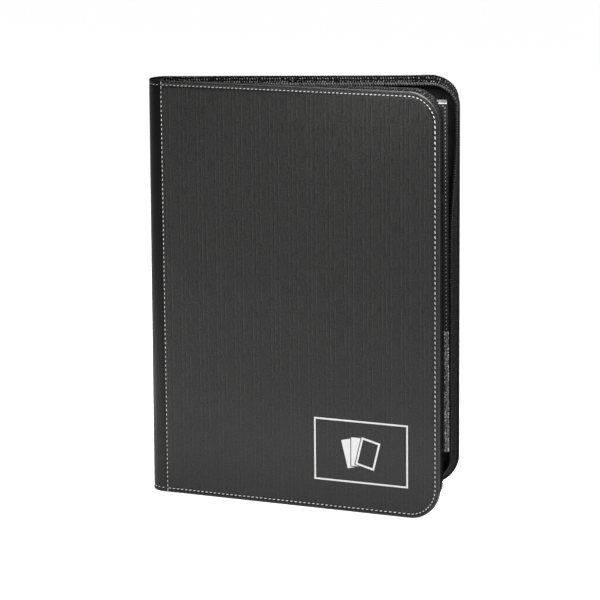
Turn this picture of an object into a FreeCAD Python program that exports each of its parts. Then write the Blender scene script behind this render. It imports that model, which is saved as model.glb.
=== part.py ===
import FreeCAD, Part
import math
import os
import re
from collections import namedtuple

import Sketcher

# Zip-up binder for trading cards, standing on its foot with the front cover part open.
#
# Row frame, in millimetres: the origin is at the foot of the spine, midway between the two
# covers' outer faces. +X runs from the spine to the fore edge of the closed book, +Y from the
# front cover to the back cover, +Z up.
#
# Each cover is drawn in a panel frame of its own: X from its seam at the spine to its fore
# edge, Z up, and depth measured from its outer face into the book. That depth runs along +Y
# on the front cover and along -Y on the back cover.

Vector = FreeCAD.Vector

# Driving dimensions. Each one is a cell of the sheet "dims", with this name as its alias.
DIMENSIONS = {
    # the book
    "book_height": 350,
    "book_depth": 35,            # outer face to outer face, closed
    "cover_reach": 248,          # seam at the spine to fore edge
    "corner_radius": 26,         # the two fore-edge corners of each cover
    "open_angle": 21.5,          # front cover, from closed
    # a cover: a wrapped skin, a foam sheet, a stiff board and a lining
    "cover_thickness": 4.4,
    "face_thickness": 0.8,
    "rim_width": 1.2,
    "edge_round": 1.1,
    "foam_inset": 1.4,
    "foam_thickness": 0.9,
    "board_inset": 9.2,
    "board_thickness": 2.1,
    "lining_inset": 2.9,
    "lining_thickness": 0.5,
    "lining_depth": 3.85,
    "lining_end_gap": 0.05,
    # the flexible strip between the spine and a cover
    "strip_start": 0.15,
    "strip_end": 8.0,
    "strip_thickness": 1.6,
    "panel_start": 8.15,
    # the spine: a rounded skin over foam
    "spine_bulge": 9.5,
    "spine_skin": 1.0,
    "spine_gap": 0.15,
    "lining_front": -0.3,
    "lining_back": 0.6,
    "spine_lining_width": 30.4,
    "spine_end_gap": 1.5,
    "core_gap": 0.05,            # between the spine's core and its lining
    "hem_gap": 0.05,             # between the spine's skin and the thread on it
    "hem_front": -0.2,
    # sewing thread, laid on the faces
    "thread_width": 0.6,
    "thread_height": 0.3,
    "thread_gap": 0.01,
    "thread_end_gap": 0.45,      # at the creases, so that the cover can fold back
    "groove_depth": 0.33,
    "groove_play": 0.05,
    "stitch_inset": 3.2,
    "seam_inset": 0.7,
    # leaves of card pockets, and the block that they are sewn into
    "page_count": 20,
    "page_pitch": 1.3,
    "page_hinge": 12,
    "page_end": 237.5,
    "page_low": 34,
    "page_high": 330,
    "page_margin": 11,
    "margin_thickness": 0.24,
    "pocket_thickness": 0.9,
    "margin_overlap": 1,         # of the margin with the sheet of pockets
    "block_start": 0.65,
    "block_end": 11.4,
    "block_width": 25.6,
    "binding_end_gap": 2,
    # zip: woven tapes that stand up round three edges, with a row of coil on each
    "tape_thickness": 0.5,
    "tape_start": 11,
    "tape_inset": 2.2,
    "flange_inset": 8.8,
    "flange_depth": 3.55,
    "tape_foot": 4.6,
    "tape_bend": 12.3,
    "coil_depth": 13.5,
    "coil_reach": 3.0,
    "coil_width": 2.4,
    "coil_top_start": 14.2,
    "coil_bottom_start": 16.5,
    "stop_start": 11.2,
    "stop_length": 2.8,
    "stop_gap": 0.05,            # between the tape's edge and the stop
    "stop_trim": 0.3,            # how much shallower the stop is than the coil
    "stop_lip": 0.2,             # how much wider it is, each side
    "closed_lean": 5.6,          # how far in from its foot a tape's edge stands
    "front_top_lean": -0.4,
    "front_fore_lean": 1.0,
    # zip ends, sewn to the spine
    "tab_length": 7.85,
    "tab_width": 8.0,
    "tab_thickness": 0.6,
    # zip slider, parked at the spine end of the bottom edge
    "slider_start": 3,
    "slider_length": 12,
    "slider_width": 10,
    "slider_plate": 0.8,
    "slider_channel": 3.0,
    "slider_flange": 0.8,
    "slider_slot": 1.0,
    "slider_post": 0.8,
    "slider_post_back": 1.6,
    "slider_corner": 0.5,
    "bridge_length": 7.6,
    "bridge_width": 2.0,
    "bridge_drop": 2.7,
    "bridge_wall": 0.8,
    "bridge_foot": 1.2,
    # pull tab
    "pull_pin": 0.75,            # radius of the cross bar
    "pull_drop": 0.95,           # cross bar's centre below the slider
    "pull_droop": 6,             # degrees below level
    "pull_length": 30,
    "pull_neck": 5.5,
    "pull_width": 7,
    "pull_thickness": 1.5,
    "pull_eye": 2.8,             # gap between the two arms
    "pull_arm": 1.2,
    "pull_overlap": 1,           # of the arms with the tab
    "pull_end_round": 3.15,
    # printed emblem: a frame round three fanned cards
    "emblem_left": 137.5,
    "emblem_low": 25,
    "emblem_width": 83.5,
    "emblem_height": 52.6,
    "emblem_line": 1.4,
    "emblem_gap": 0.01,
    "emblem_film": 0.12,
    "card_width": 17,
    "card_height": 24,
    "card_line": 1.6,
    "card_spread": 14,           # degrees between neighbouring cards
    "card_pivot": 14,            # fan's centre, below the cards
    "cut_play": 1,               # how far a cutting block passes each face of the print
}

CORNER_STEPS = 8                 # facets in a zip tape's quarter turn

doc = FreeCAD.newDocument("card_binder")
sheet = doc.addObject("Spreadsheet::Sheet", "dims")
for row, (alias, size) in enumerate(DIMENSIONS.items(), start=1):
    sheet.set("A%d" % row, str(size))
    sheet.setAlias("A%d" % row, alias)
doc.recompute()

ALIAS = re.compile(r"\b[a-z]+(?:_[a-z]+)+\b")
nodes = []


def formula(text):
    """A formula in the sheet's aliases, written for setExpression."""
    return ALIAS.sub(lambda found: "dims." + found.group(0), text)


def number(text):
    """The value of such a formula."""
    return float(sheet.evalExpression(formula(text)))


def publish(item, node):
    """Name a finished sub-part and list it for export."""
    item.Label = node
    nodes.append(item)
    return item


# ---------------------------------------------------------------- frames of the two covers

Side = namedtuple("Side", "name inward placement top_lean fore_lean bottom_lean")


def at(x, y, z, turn=0.0):
    """A placement at a point, turned about +Z."""
    return FreeCAD.Placement(Vector(x, y, z), FreeCAD.Rotation(Vector(0, 0, 1), turn))


FRONT = Side("front", 1, at(0, number("-book_depth / 2"), 0, number("-open_angle")),
             "front_top_lean", "front_fore_lean", "closed_lean")
BACK = Side("back", -1, at(0, number("book_depth / 2"), 0),
            "closed_lean", "closed_lean", "closed_lean")
ROW = at(0, 0, 0)


# ---------------------------------------------------------------- building blocks

def box(name, low, size, frame=ROW):
    """A box from its low corner and its size, given as formulas in a frame."""
    item = doc.addObject("Part::Box", name)
    for side, text in zip(("Length", "Width", "Height"), size):
        item.setExpression(side, formula(text))
    corner = Vector(*[number(text) for text in low])
    item.Placement = frame.multiply(FreeCAD.Placement(corner, FreeCAD.Rotation()))
    return item


def panel_box(side, name, start, depth, low, length, thickness, height):
    """A box in a cover's panel frame, from a depth into the book."""
    near = depth if side.inward > 0 else "-(%s) - (%s)" % (depth, thickness)
    return box(name, (start, near, low), (length, thickness, height), side.placement)


def cylinder(name, radius, height, centre):
    """An upright cylinder."""
    item = doc.addObject("Part::Cylinder", name)
    item.setExpression("Radius", formula(radius))
    item.setExpression("Height", formula(height))
    item.Placement = at(*[number(text) for text in centre])
    return item


def cut(name, base, tool):
    item = doc.addObject("Part::Cut", name)
    item.Base = base
    item.Tool = tool
    return item


def common(name, base, tool):
    item = doc.addObject("Part::Common", name)
    item.Base = base
    item.Tool = tool
    return item


def fuse(name, items):
    item = doc.addObject("Part::MultiFuse", name)
    item.Shapes = items
    item.Refine = True
    return item


def compound(name, items):
    item = doc.addObject("Part::Compound", name)
    item.Links = items
    return item


def new_sketch(body, name, side, depth):
    """An empty sketch in a panel's plane, at a depth into the book."""
    sketch = body.newObject("Sketcher::SketchObject", name)
    plane = [item for item in body.Origin.OriginFeatures if item.Role == "XZ_Plane"][0]
    sketch.AttachmentSupport = [(plane, "")]
    sketch.MapMode = "FlatFace"
    sketch.setExpression("AttachmentOffset.Base.z", formula("%d * (%s)" % (-side.inward, depth)))
    return sketch


def add_outline(sketch, near, inset, prefix=""):
    """Draw a panel's outline: square at the spine, with round corners at the fore edge."""
    limits = {
        "near": near,
        "low": inset,
        "reach": "cover_reach - (%s)" % inset,
        "high": "book_height - (%s)" % inset,
        "round": "corner_radius - (%s)" % inset,
    }
    near, low, reach, high, radius = [number(text) for text in limits.values()]
    centre_x = reach - radius
    up = Vector(0, 0, 1)
    quarter = math.pi / 2
    bottom_arc = Part.Circle(Vector(centre_x, low + radius, 0), up, radius)
    top_arc = Part.Circle(Vector(centre_x, high - radius, 0), up, radius)
    bottom, low_corner, fore, high_corner, top, crease = sketch.addGeometry([
        Part.LineSegment(Vector(near, low, 0), Vector(centre_x, low, 0)),
        Part.ArcOfCircle(bottom_arc, -quarter, 0),
        Part.LineSegment(Vector(reach, low + radius, 0), Vector(reach, high - radius, 0)),
        Part.ArcOfCircle(top_arc, 0, quarter),
        Part.LineSegment(Vector(centre_x, high, 0), Vector(near, high, 0)),
        Part.LineSegment(Vector(near, high, 0), Vector(near, low, 0)),
    ], False)
    start, end = 1, 2
    origin = (-1, 1)
    sketch.addConstraint([
        Sketcher.Constraint("Tangent", bottom, end, low_corner, start),
        Sketcher.Constraint("Tangent", low_corner, end, fore, start),
        Sketcher.Constraint("Tangent", fore, end, high_corner, start),
        Sketcher.Constraint("Tangent", high_corner, end, top, start),
        Sketcher.Constraint("Coincident", top, end, crease, start),
        Sketcher.Constraint("Coincident", crease, end, bottom, start),
        Sketcher.Constraint("Horizontal", bottom),
        Sketcher.Constraint("Vertical", fore),
        Sketcher.Constraint("Horizontal", top),
        Sketcher.Constraint("Vertical", crease),
        Sketcher.Constraint("Equal", low_corner, high_corner),
    ])
    sized = {
        "near": Sketcher.Constraint("DistanceX", *origin, bottom, start, near),
        "low": Sketcher.Constraint("DistanceY", *origin, bottom, start, low),
        "reach": Sketcher.Constraint("DistanceX", *origin, fore, start, reach),
        "high": Sketcher.Constraint("DistanceY", *origin, top, start, high),
        "round": Sketcher.Constraint("Radius", low_corner, radius),
    }
    for limit, constraint in sized.items():
        sketch.renameConstraint(sketch.addConstraint(constraint), prefix + limit)
        sketch.setExpression("Constraints." + prefix + limit, formula(limits[limit]))


def outline(body, name, side, near, inset, depth):
    """A sketch of one panel outline at a depth into the book."""
    sketch = new_sketch(body, name, side, depth)
    add_outline(sketch, near, inset)
    return sketch


def plate(side, node, near, inset, depth, thickness):
    """A layer of a cover: its outline, padded into the book from a depth."""
    body = doc.addObject("PartDesign::Body", node + "_body")
    pad = body.newObject("PartDesign::Pad", node + "_pad")
    pad.Profile = outline(body, node + "_outline", side, near, inset, depth)
    pad.setExpression("Length", formula(thickness))
    pad.Reversed = side.inward > 0
    body.Tip = pad
    body.Placement = side.placement
    return body


def hollow(side, body, node, near, inset, depth):
    """Pocket a plate from a depth to its inner face."""
    solid = body.Tip
    doc.recompute()
    before = solid.Shape.Volume
    pocket = body.newObject("PartDesign::Pocket", node + "_pocket")
    pocket.Profile = outline(body, node + "_hollow", side, near, inset, depth)
    pocket.Type = "ThroughAll"
    pocket.Reversed = side.inward < 0
    body.Tip = pocket
    doc.recompute()
    if not pocket.Shape.Volume < before:
        raise RuntimeError(node + ": the pocket cuts nothing")


def cut_groove(side, body, node, inset, width, depth):
    """Sink a groove for stitching into a plate's outer face, along its three free edges."""
    solid = body.Tip
    doc.recompute()
    before = solid.Shape.Volume
    sketch = new_sketch(body, node + "_groove_outline", side, "0")
    add_outline(sketch, "-2 * edge_round", inset, "outer_")
    add_outline(sketch, "-edge_round", "%s + %s" % (inset, width), "inner_")
    groove = body.newObject("PartDesign::Pocket", node + "_groove")
    groove.Profile = sketch
    groove.setExpression("Length", formula(depth))
    groove.Reversed = side.inward < 0
    body.Tip = groove
    doc.recompute()
    if not groove.Shape.Volume < before:
        raise RuntimeError(node + ": the groove cuts nothing")


def round_outer_edges(body, node):
    """Round the outer face's edges, except along the crease."""
    pocket = body.Tip
    crease = number("panel_start + rim_width")
    names = []
    for index, edge in enumerate(pocket.Shape.Edges, start=1):
        bounds = edge.BoundBox
        on_face = abs(bounds.YMin) < 1e-6 and abs(bounds.YMax) < 1e-6
        if on_face and bounds.XMax > crease:
            names.append("Edge%d" % index)
    fillet = body.newObject("PartDesign::Fillet", node + "_round")
    fillet.Base = (pocket, names)
    fillet.setExpression("Radius", formula("edge_round"))
    body.Tip = fillet


# ---------------------------------------------------------------- covers

def make_cover(side):
    """The four layers of one cover, outside in, and the thread along its free edges."""
    prefix = side.name + "_cover_"

    skin = plate(side, prefix + "skin", "panel_start", "0", "0", "cover_thickness")
    tray_near = "panel_start + rim_width"
    hollow(side, skin, prefix + "skin", tray_near, "rim_width", "face_thickness")
    round_outer_edges(skin, prefix + "skin")
    groove_inset = "stitch_inset - groove_play"
    cut_groove(side, skin, prefix + "skin", groove_inset, "thread_width + 2 * groove_play",
               "groove_depth")
    publish(skin, prefix + "skin")

    foam_near = "panel_start + foam_inset"
    publish(plate(side, prefix + "padding", foam_near, "foam_inset", "face_thickness",
                  "foam_thickness"), prefix + "padding")
    board_depth = "face_thickness + foam_thickness"
    publish(plate(side, prefix + "board", foam_near, "board_inset", board_depth,
                  "board_thickness"), prefix + "board")
    publish(plate(side, prefix + "lining", foam_near + " + lining_end_gap", "lining_inset",
                  "lining_depth", "lining_thickness"), prefix + "lining")

    node = side.name + "_edge_thread"
    depth = "groove_depth - thread_height - thread_gap"
    rail = plate(side, node, "panel_start + thread_end_gap", "stitch_inset", depth, "thread_height")
    hollow(side, rail, node, "strip_end", "stitch_inset + thread_width", depth)
    publish(rail, node)


def make_hinge_strip(side):
    """The skin between spine and cover, which bends at both creases, and its seam thread."""
    node = side.name + "_hinge_strip"
    length = "strip_end - strip_start"
    publish(panel_box(side, node + "_box", "strip_start", "0", "0", length,
                      "strip_thickness", "book_height"), node)

    node = side.name + "_seam_thread"
    depth = "-thread_gap - thread_height"
    tall = "book_height - 2 * stitch_inset"
    seam = panel_box(side, node + "_seam", "seam_inset", depth, "stitch_inset",
                     "thread_width", "thread_height", tall)
    arms = []
    for name, low in (("low", "stitch_inset"), ("high", "book_height - stitch_inset - thread_width")):
        arms.append(panel_box(side, node + "_" + name, "seam_inset", depth, low,
                              "strip_end - thread_end_gap - seam_inset", "thread_height",
                              "thread_width"))
    publish(fuse(node + "_fuse", [seam] + arms), node)


# ---------------------------------------------------------------- zip tapes and coils

def edge_stations(side, top_start, bottom_start):
    """Stations round a cover's free edges, from the top of the spine to its foot.

    Each is a point of the outline, the direction into the panel, and the tape's lean there.
    """
    height, reach, radius = number("book_height"), number("cover_reach"), number("corner_radius")
    leans = [number(side.top_lean), number(side.fore_lean), number(side.bottom_lean)]
    stations = [(Vector(number(top_start), 0, height), Vector(0, 0, -1), leans[0])]
    for corner, centre_z in enumerate((height - radius, radius)):
        centre = Vector(reach - radius, 0, centre_z)
        for step in range(CORNER_STEPS + 1):
            share = step / CORNER_STEPS
            angle = math.radians(90 * (1 - corner - share))
            outward = Vector(math.cos(angle), 0, math.sin(angle))
            smooth = share * share * (3 - 2 * share)
            lean = leans[corner] + (leans[corner + 1] - leans[corner]) * smooth
            stations.append((centre + outward * radius, -outward, lean))
    stations.append((Vector(number(bottom_start), 0, 0), Vector(0, 0, 1), leans[2]))
    return stations


def thicken(path, thickness):
    """The closed outline of a strip of even thickness along an open path, with mitred bends."""
    half = thickness / 2
    directions = []
    for (x0, y0), (x1, y1) in zip(path, path[1:]):
        length = math.hypot(x1 - x0, y1 - y0)
        directions.append(((x1 - x0) / length, (y1 - y0) / length))
    left, right = [], []
    for index, (x, y) in enumerate(path):
        before = directions[max(index - 1, 0)]
        after = directions[min(index, len(directions) - 1)]
        normal = (-before[1] - after[1], before[0] + after[0])
        stretch = 2 * half / (normal[0] ** 2 + normal[1] ** 2)
        left.append((x + normal[0] * stretch, y + normal[1] * stretch))
        right.append((x - normal[0] * stretch, y - normal[1] * stretch))
    return left + right[::-1]


def tape_section(lean):
    """A tape's section, as (inset, depth): sewn flange, foot, leaning web and upright edge."""
    foot = number("tape_inset")
    path = [
        (number("flange_inset"), number("flange_depth")),
        (foot, number("flange_depth")),
        (foot, number("tape_foot")),
        (foot + lean, number("tape_bend")),
        (foot + lean, number("coil_depth")),
    ]
    return thicken(path, number("tape_thickness"))


def coil_section(lean):
    """A coil row's section, as (inset, depth)."""
    middle = number("tape_inset") + lean
    half = number("coil_width / 2")
    low, high = number("coil_depth"), number("coil_depth + coil_reach")
    return [(middle - half, low), (middle + half, low), (middle + half, high), (middle - half, high)]


def edge_loft(side, node, section, stations):
    """A solid that carries a section round a cover's free edges."""
    wires = []
    for point, inward, lean in stations:
        corners = [point + inward * inset + Vector(0, side.inward * depth, 0)
                   for inset, depth in section(lean)]
        wires.append(Part.makePolygon(corners + corners[:1]))
    item = doc.addObject("Part::Feature", node + "_loft")
    item.Shape = Part.makeLoft(wires, True, True)
    item.Placement = side.placement
    publish(item, node)


def make_zip_edge(side):
    """One half of the zip: its tape, its coil row and the stop at the coil's top end."""
    edge_loft(side, side.name + "_zip_tape", tape_section,
              edge_stations(side, "tape_start", "tape_start"))
    edge_loft(side, side.name + "_zip_coil", coil_section,
              edge_stations(side, "coil_top_start", "coil_bottom_start"))
    node = side.name + "_zip_stop"
    low = "book_height - tape_inset - (%s) - coil_width / 2 - stop_lip" % side.top_lean
    publish(panel_box(side, node + "_box", "stop_start", "coil_depth + stop_gap", low,
                      "stop_length", "coil_reach - stop_trim", "coil_width + 2 * stop_lip"), node)


# ---------------------------------------------------------------- spine

def spine_arc(name, outer, inner, low, tall, front="0"):
    """A slice of the spine's round back, up to a plane at its front."""
    radius = "(book_depth ^ 2 / 4 + spine_bulge ^ 2) / (2 * spine_bulge)"
    centre = (radius + " - spine_bulge", "0", low)
    solid = cylinder(name + "_outer", "%s + (%s)" % (radius, outer), tall, centre)
    if inner is not None:
        core = cylinder(name + "_inner", "%s + (%s)" % (radius, inner), tall, centre)
        solid = cut(name + "_shell", solid, core)
    reach = "spine_bulge * 2"
    trim = box(name + "_trim", ("-(%s) + (%s)" % (reach, front), "-book_depth / 2", low),
               (reach, "book_depth", tall))
    return common(name + "_arc", solid, trim)


def make_spine():
    """Skin, foam core, lining, hem threads, the block of sewn page edges and the zip's ends."""
    publish(spine_arc("spine_skin", "0", "-spine_skin", "0", "book_height"), "spine_skin")
    publish(spine_arc("spine_core", "-spine_skin - spine_gap", None, "spine_end_gap",
                      "book_height - 2 * spine_end_gap", "lining_front - core_gap"), "spine_core")
    publish(box("spine_lining_box", ("lining_front", "-spine_lining_width / 2", "0"),
                ("lining_back - lining_front", "spine_lining_width",
                 "book_height - spine_end_gap")), "spine_lining")
    hems = []
    for name, low in (("low", "stitch_inset"), ("high", "book_height - stitch_inset - thread_width")):
        hems.append(spine_arc("spine_hem_" + name, "hem_gap + thread_height", "hem_gap", low,
                              "thread_width", "hem_front"))
    publish(compound("spine_hem_pair", hems), "spine_hem_thread")

    length, tall = "block_end - block_start", "page_high - page_low"
    publish(box("block_box", ("block_start", "-block_width / 2", "page_low"),
                (length, "block_width", tall)), "page_binding_block")
    threads = []
    near = "block_start + (%s) / 2" % length
    for name, low in (("front", "-block_width / 2 - thread_gap - thread_height"),
                      ("back", "block_width / 2 + thread_gap")):
        threads.append(box("binding_" + name, (near, low, "page_low + binding_end_gap"),
                           ("thread_width", "thread_height", tall + " - 2 * binding_end_gap")))
    publish(compound("binding_pair", threads), "binding_thread")

    middle = "tape_inset + closed_lean - tab_thickness / 2"
    for node, low in (("zip_bottom_tab", middle),
                      ("zip_top_tab", "book_height - tab_thickness - (%s)" % middle)):
        publish(box(node + "_box", ("block_start", "-tab_width / 2", low),
                    ("tab_length", "tab_width", "tab_thickness")), node)


# ---------------------------------------------------------------- leaves

def make_page(index):
    """One leaf: a thin sewn margin, then the welded sheet of pockets."""
    node = "page_%02d" % (index + 1)
    middle = "page_pitch * (%d - (page_count - 1) / 2)" % index
    tall = "page_high - page_low"
    margin = box(node + "_margin", ("page_hinge", middle + " - margin_thickness / 2", "page_low"),
                 ("page_margin + margin_overlap", "margin_thickness", tall))
    pockets = box(node + "_pockets",
                  ("page_hinge + page_margin", middle + " - pocket_thickness / 2", "page_low"),
                  ("page_end - page_hinge - page_margin", "pocket_thickness", tall))
    publish(fuse(node + "_leaf", [margin, pockets]), node)


# ---------------------------------------------------------------- zip slider and pull

def make_slider():
    """Two plates joined by a post, flanges that hold the coils, and a bridge for the pull."""
    middle = "tape_inset + closed_lean"
    low_face = "%s - slider_channel / 2" % middle
    high_face = "%s + slider_channel / 2" % middle
    size = ("slider_length", "slider_width", "slider_plate")
    pieces = [
        box("slider_low", ("slider_start", "-slider_width / 2", low_face + " - slider_plate"), size),
        box("slider_high", ("slider_start", "-slider_width / 2", high_face), size),
        cylinder("slider_post_pin", "slider_post", "slider_channel",
                 ("slider_start + slider_length - slider_post_back", "0", low_face)),
    ]
    lip = "(slider_channel - slider_slot) / 2"
    for edge, near in (("front", "-slider_width / 2"), ("back", "slider_width / 2 - slider_flange")):
        for level, low in (("low", low_face), ("high", high_face + " - " + lip)):
            pieces.append(box("slider_lip_%s_%s" % (edge, level), ("slider_start", near, low),
                              ("slider_length", "slider_flange", lip)))
    underside = low_face + " - slider_plate"
    bridge_near = "slider_start + (slider_length - bridge_length) / 2"
    bridge = box("bridge_block", (bridge_near, "-bridge_width / 2", underside + " - bridge_drop"),
                 ("bridge_length", "bridge_width", "bridge_drop"))
    window = box("bridge_window", (bridge_near + " + bridge_foot", "-bridge_width",
                                   underside + " - bridge_drop + bridge_wall"),
                 ("bridge_length - 2 * bridge_foot", "2 * bridge_width",
                  "bridge_drop - bridge_wall"))
    pieces.append(cut("slider_bridge", bridge, window))

    whole = fuse("slider_fuse", pieces)
    doc.recompute()
    ends = [number("slider_start"), number("slider_start + slider_length")]
    corners = []
    for index, edge in enumerate(whole.Shape.Edges, start=1):
        bounds = edge.BoundBox
        upright = bounds.XLength < 1e-6 and bounds.YLength < 1e-6
        at_end = min(abs(bounds.XMin - end) for end in ends) < 1e-6
        at_side = abs(abs(bounds.YMin) - number("slider_width / 2")) < 1e-6
        if upright and at_end and at_side:
            corners.append((index, number("slider_corner"), number("slider_corner")))
    rounded = doc.addObject("Part::Fillet", "slider_rounded")
    rounded.Base = whole
    rounded.Edges = corners
    publish(rounded, "zip_slider_body")


def make_pull():
    """The pull: a cross bar through the bridge, two arms and a tab with a round end."""
    side = "pull_eye / 2"
    bar = cylinder("pull_bar", "pull_pin", "pull_eye + 2 * pull_arm", ("0", "0", "0"))
    bar.Placement = FreeCAD.Placement(Vector(0, number("-pull_eye / 2 - pull_arm"), 0),
                                      FreeCAD.Rotation(Vector(1, 0, 0), -90))
    arm = ("pull_neck + pull_overlap", "pull_arm", "pull_thickness")
    pieces = [bar]
    for name, near in (("front", "-(%s) - pull_arm" % side), ("back", side)):
        pieces.append(box("pull_arm_" + name, ("0", near, "-pull_thickness / 2"), arm))
    tab = box("pull_tab_box", ("pull_neck", "-pull_width / 2", "-pull_thickness / 2"),
              ("pull_length - pull_neck", "pull_width", "pull_thickness"))
    doc.recompute()
    far = number("pull_length")
    radius = number("pull_end_round")
    ends = []
    for index, edge in enumerate(tab.Shape.Edges, start=1):
        bounds = edge.BoundBox
        if bounds.ZLength > 1e-6 and abs(bounds.XMin - far) < 1e-6:
            ends.append((index, radius, radius))
    rounded = doc.addObject("Part::Fillet", "pull_tab_round")
    rounded.Base = tab
    rounded.Edges = ends
    whole = fuse("pull_fuse", pieces + [rounded])
    whole.Placement = FreeCAD.Placement(
        Vector(number("slider_start + slider_length / 2"), 0,
               number("tape_inset + closed_lean - slider_channel / 2 - slider_plate - pull_drop")),
        FreeCAD.Rotation(Vector(0, 1, 0), number("pull_droop")))
    publish(whole, "zip_pull_tab")


# ---------------------------------------------------------------- emblem

def make_emblem():
    """A raised print on the front cover: a plain frame round three fanned cards."""
    depth = "-emblem_gap - emblem_film"
    outer = panel_box(FRONT, "emblem_outer", "emblem_left", depth, "emblem_low",
                      "emblem_width", "emblem_film", "emblem_height")
    cut_depth, cut_through = depth + " - cut_play", "emblem_film + 2 * cut_play"
    inner = panel_box(FRONT, "emblem_inner", "emblem_left + emblem_line", cut_depth,
                      "emblem_low + emblem_line", "emblem_width - 2 * emblem_line",
                      cut_through, "emblem_height - 2 * emblem_line")
    pieces = [cut("emblem_frame", outer, inner)]

    # The fan turns about a point below the cards. Each card hides part of the one behind it.
    pivot_x = number("emblem_left + emblem_width / 2")
    pivot_z = number("emblem_low + (emblem_height - card_height) / 2 - card_pivot")
    in_front = []
    for order in range(3):
        turn = number("(%d - 1) * card_spread" % (2 - order))
        frame = FRONT.placement.multiply(FreeCAD.Placement(
            Vector(pivot_x, 0, pivot_z), FreeCAD.Rotation(Vector(0, 1, 0), turn)))
        card = box("card_%d" % order, ("-card_width / 2", depth, "card_pivot"),
                   ("card_width", "emblem_film", "card_height"), frame)
        if order == 0:
            window = box("card_window", ("-card_width / 2 + card_line", cut_depth,
                                         "card_pivot + card_line"),
                         ("card_width - 2 * card_line", cut_through,
                          "card_height - 2 * card_line"), frame)
            face = cut("card_face", card, window)
        else:
            face = card
        for index, blocker in enumerate(in_front):
            face = cut("card_%d_behind_%d" % (order, index), face, blocker)
        in_front.append(box("card_%d_margin" % order,
                            ("-card_width / 2 - card_line / 2", cut_depth,
                             "card_pivot - card_line / 2"),
                            ("card_width + card_line", cut_through,
                             "card_height + card_line"), frame))
        pieces.append(face)
    publish(compound("emblem_print", pieces), "front_emblem")


# ---------------------------------------------------------------- build, check and write

for cover in (FRONT, BACK):
    make_cover(cover)
    make_hinge_strip(cover)
    make_zip_edge(cover)
make_spine()
for page in range(int(number("page_count"))):
    make_page(page)
make_slider()
make_pull()
make_emblem()
doc.recompute()

for item in doc.Objects:
    if "Invalid" in item.State or "Error" in item.State:
        raise RuntimeError("%s (%s): %s" % (item.Name, item.Label, item.State))
for item in nodes:
    if item.Shape.isNull() or not item.Shape.isValid():
        raise RuntimeError(item.Label + ": no valid shape")

os.makedirs("parts", exist_ok=True)
for item in nodes:
    item.Shape.exportStep("parts/%s.step" % item.Label)
print("%d sub-parts written" % len(nodes))
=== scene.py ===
import math
from collections import namedtuple

import bmesh
import bpy
import numpy as np
from mathutils import Matrix, Vector


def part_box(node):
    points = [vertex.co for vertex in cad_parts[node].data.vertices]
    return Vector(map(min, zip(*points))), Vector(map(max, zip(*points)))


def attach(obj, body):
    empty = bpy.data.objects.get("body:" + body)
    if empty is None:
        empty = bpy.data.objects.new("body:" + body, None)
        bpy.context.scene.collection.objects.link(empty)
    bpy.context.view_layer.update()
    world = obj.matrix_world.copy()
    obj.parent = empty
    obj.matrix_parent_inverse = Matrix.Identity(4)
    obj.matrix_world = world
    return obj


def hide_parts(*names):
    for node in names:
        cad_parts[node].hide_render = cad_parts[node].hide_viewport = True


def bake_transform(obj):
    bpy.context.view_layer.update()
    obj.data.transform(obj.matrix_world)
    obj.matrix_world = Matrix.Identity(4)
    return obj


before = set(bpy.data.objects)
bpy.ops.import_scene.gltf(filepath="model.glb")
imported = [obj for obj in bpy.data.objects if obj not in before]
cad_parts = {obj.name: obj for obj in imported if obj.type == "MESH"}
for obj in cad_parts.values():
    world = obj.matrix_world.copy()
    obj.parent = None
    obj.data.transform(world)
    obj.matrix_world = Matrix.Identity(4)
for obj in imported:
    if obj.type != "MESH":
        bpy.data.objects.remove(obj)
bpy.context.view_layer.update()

# Looks of the trading card binder. Sizes are in millimetres in the row frame, as in the CAD:
# the origin is at the foot of the spine, +X to the fore edge, +Y front to back, +Z up.
# A place on a cover is (along it from its seam, depth from its outer face into the book, up).

MM = 0.001
SPINE_LOW, SPINE_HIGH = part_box("spine_skin")
HEIGHT = SPINE_HIGH.z / MM
HALF_DEPTH = SPINE_HIGH.y / MM
BULGE = -SPINE_LOW.x / MM
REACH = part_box("back_cover_skin")[1].x / MM
OPEN_ANGLE = math.radians(21.5)
CORNER = 26.0
COVER_THICK = 4.4
STRIP_THICK = 1.6
LEATHER_THICK = 0.8
STITCH_INSET = 3.5
SEAM_LINE = 1.0                 # the stitches beside the seam, from it
STITCH_PITCH = 3.85
ARC = (CORNER - STITCH_INSET) * math.pi / 2
STRAIGHT = REACH - CORNER
FORE = HEIGHT - 2 * CORNER
RUN = 2 * (STRAIGHT + ARC) + FORE    # length of the line of stitches round a cover's free edges
SPINE_RADIUS = (HALF_DEPTH ** 2 + BULGE ** 2) / (2 * BULGE)
SPINE_CENTRE = SPINE_RADIUS - BULGE
SPINE_HALF = math.asin(HALF_DEPTH / SPINE_RADIUS)
FULL_TOP, FULL_FOOT = 0.7, 2.6  # how far the middle of the spine stands out past its curve
LEAF_LOW, LEAF_HIGH = [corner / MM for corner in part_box("page_01")]
PAGE_LOW, PAGE_HIGH = LEAF_LOW.z, LEAF_HIGH.z
PAGE_START, PAGE_END = LEAF_LOW.x, LEAF_HIGH.x
BORDER = 3.2                    # of a leaf, at its foot and top
FORE_BORDER = 7.5
POCKETS_START = PAGE_START + 11.0
POCKET_WIDE = (PAGE_END - FORE_BORDER - POCKETS_START) / 3
POCKET_TALL = (PAGE_HIGH - PAGE_LOW - 2 * BORDER) / 3

UP = np.array([0.0, 0.0, 1.0])
rng = np.random.default_rng(7)

Side = namedtuple("Side", "name turn inward body")
FRONT = Side("front", -OPEN_ANGLE, 1, "front_cover")
BACK = Side("back", 0.0, -1, "back_cover")


# ---------------------------------------------------------------- places and curves

def smooth(x):
    """0 below 0, 1 above 1 and a soft step between."""
    x = np.clip(x, 0, 1)
    return x * x * (3 - 2 * x)


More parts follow.
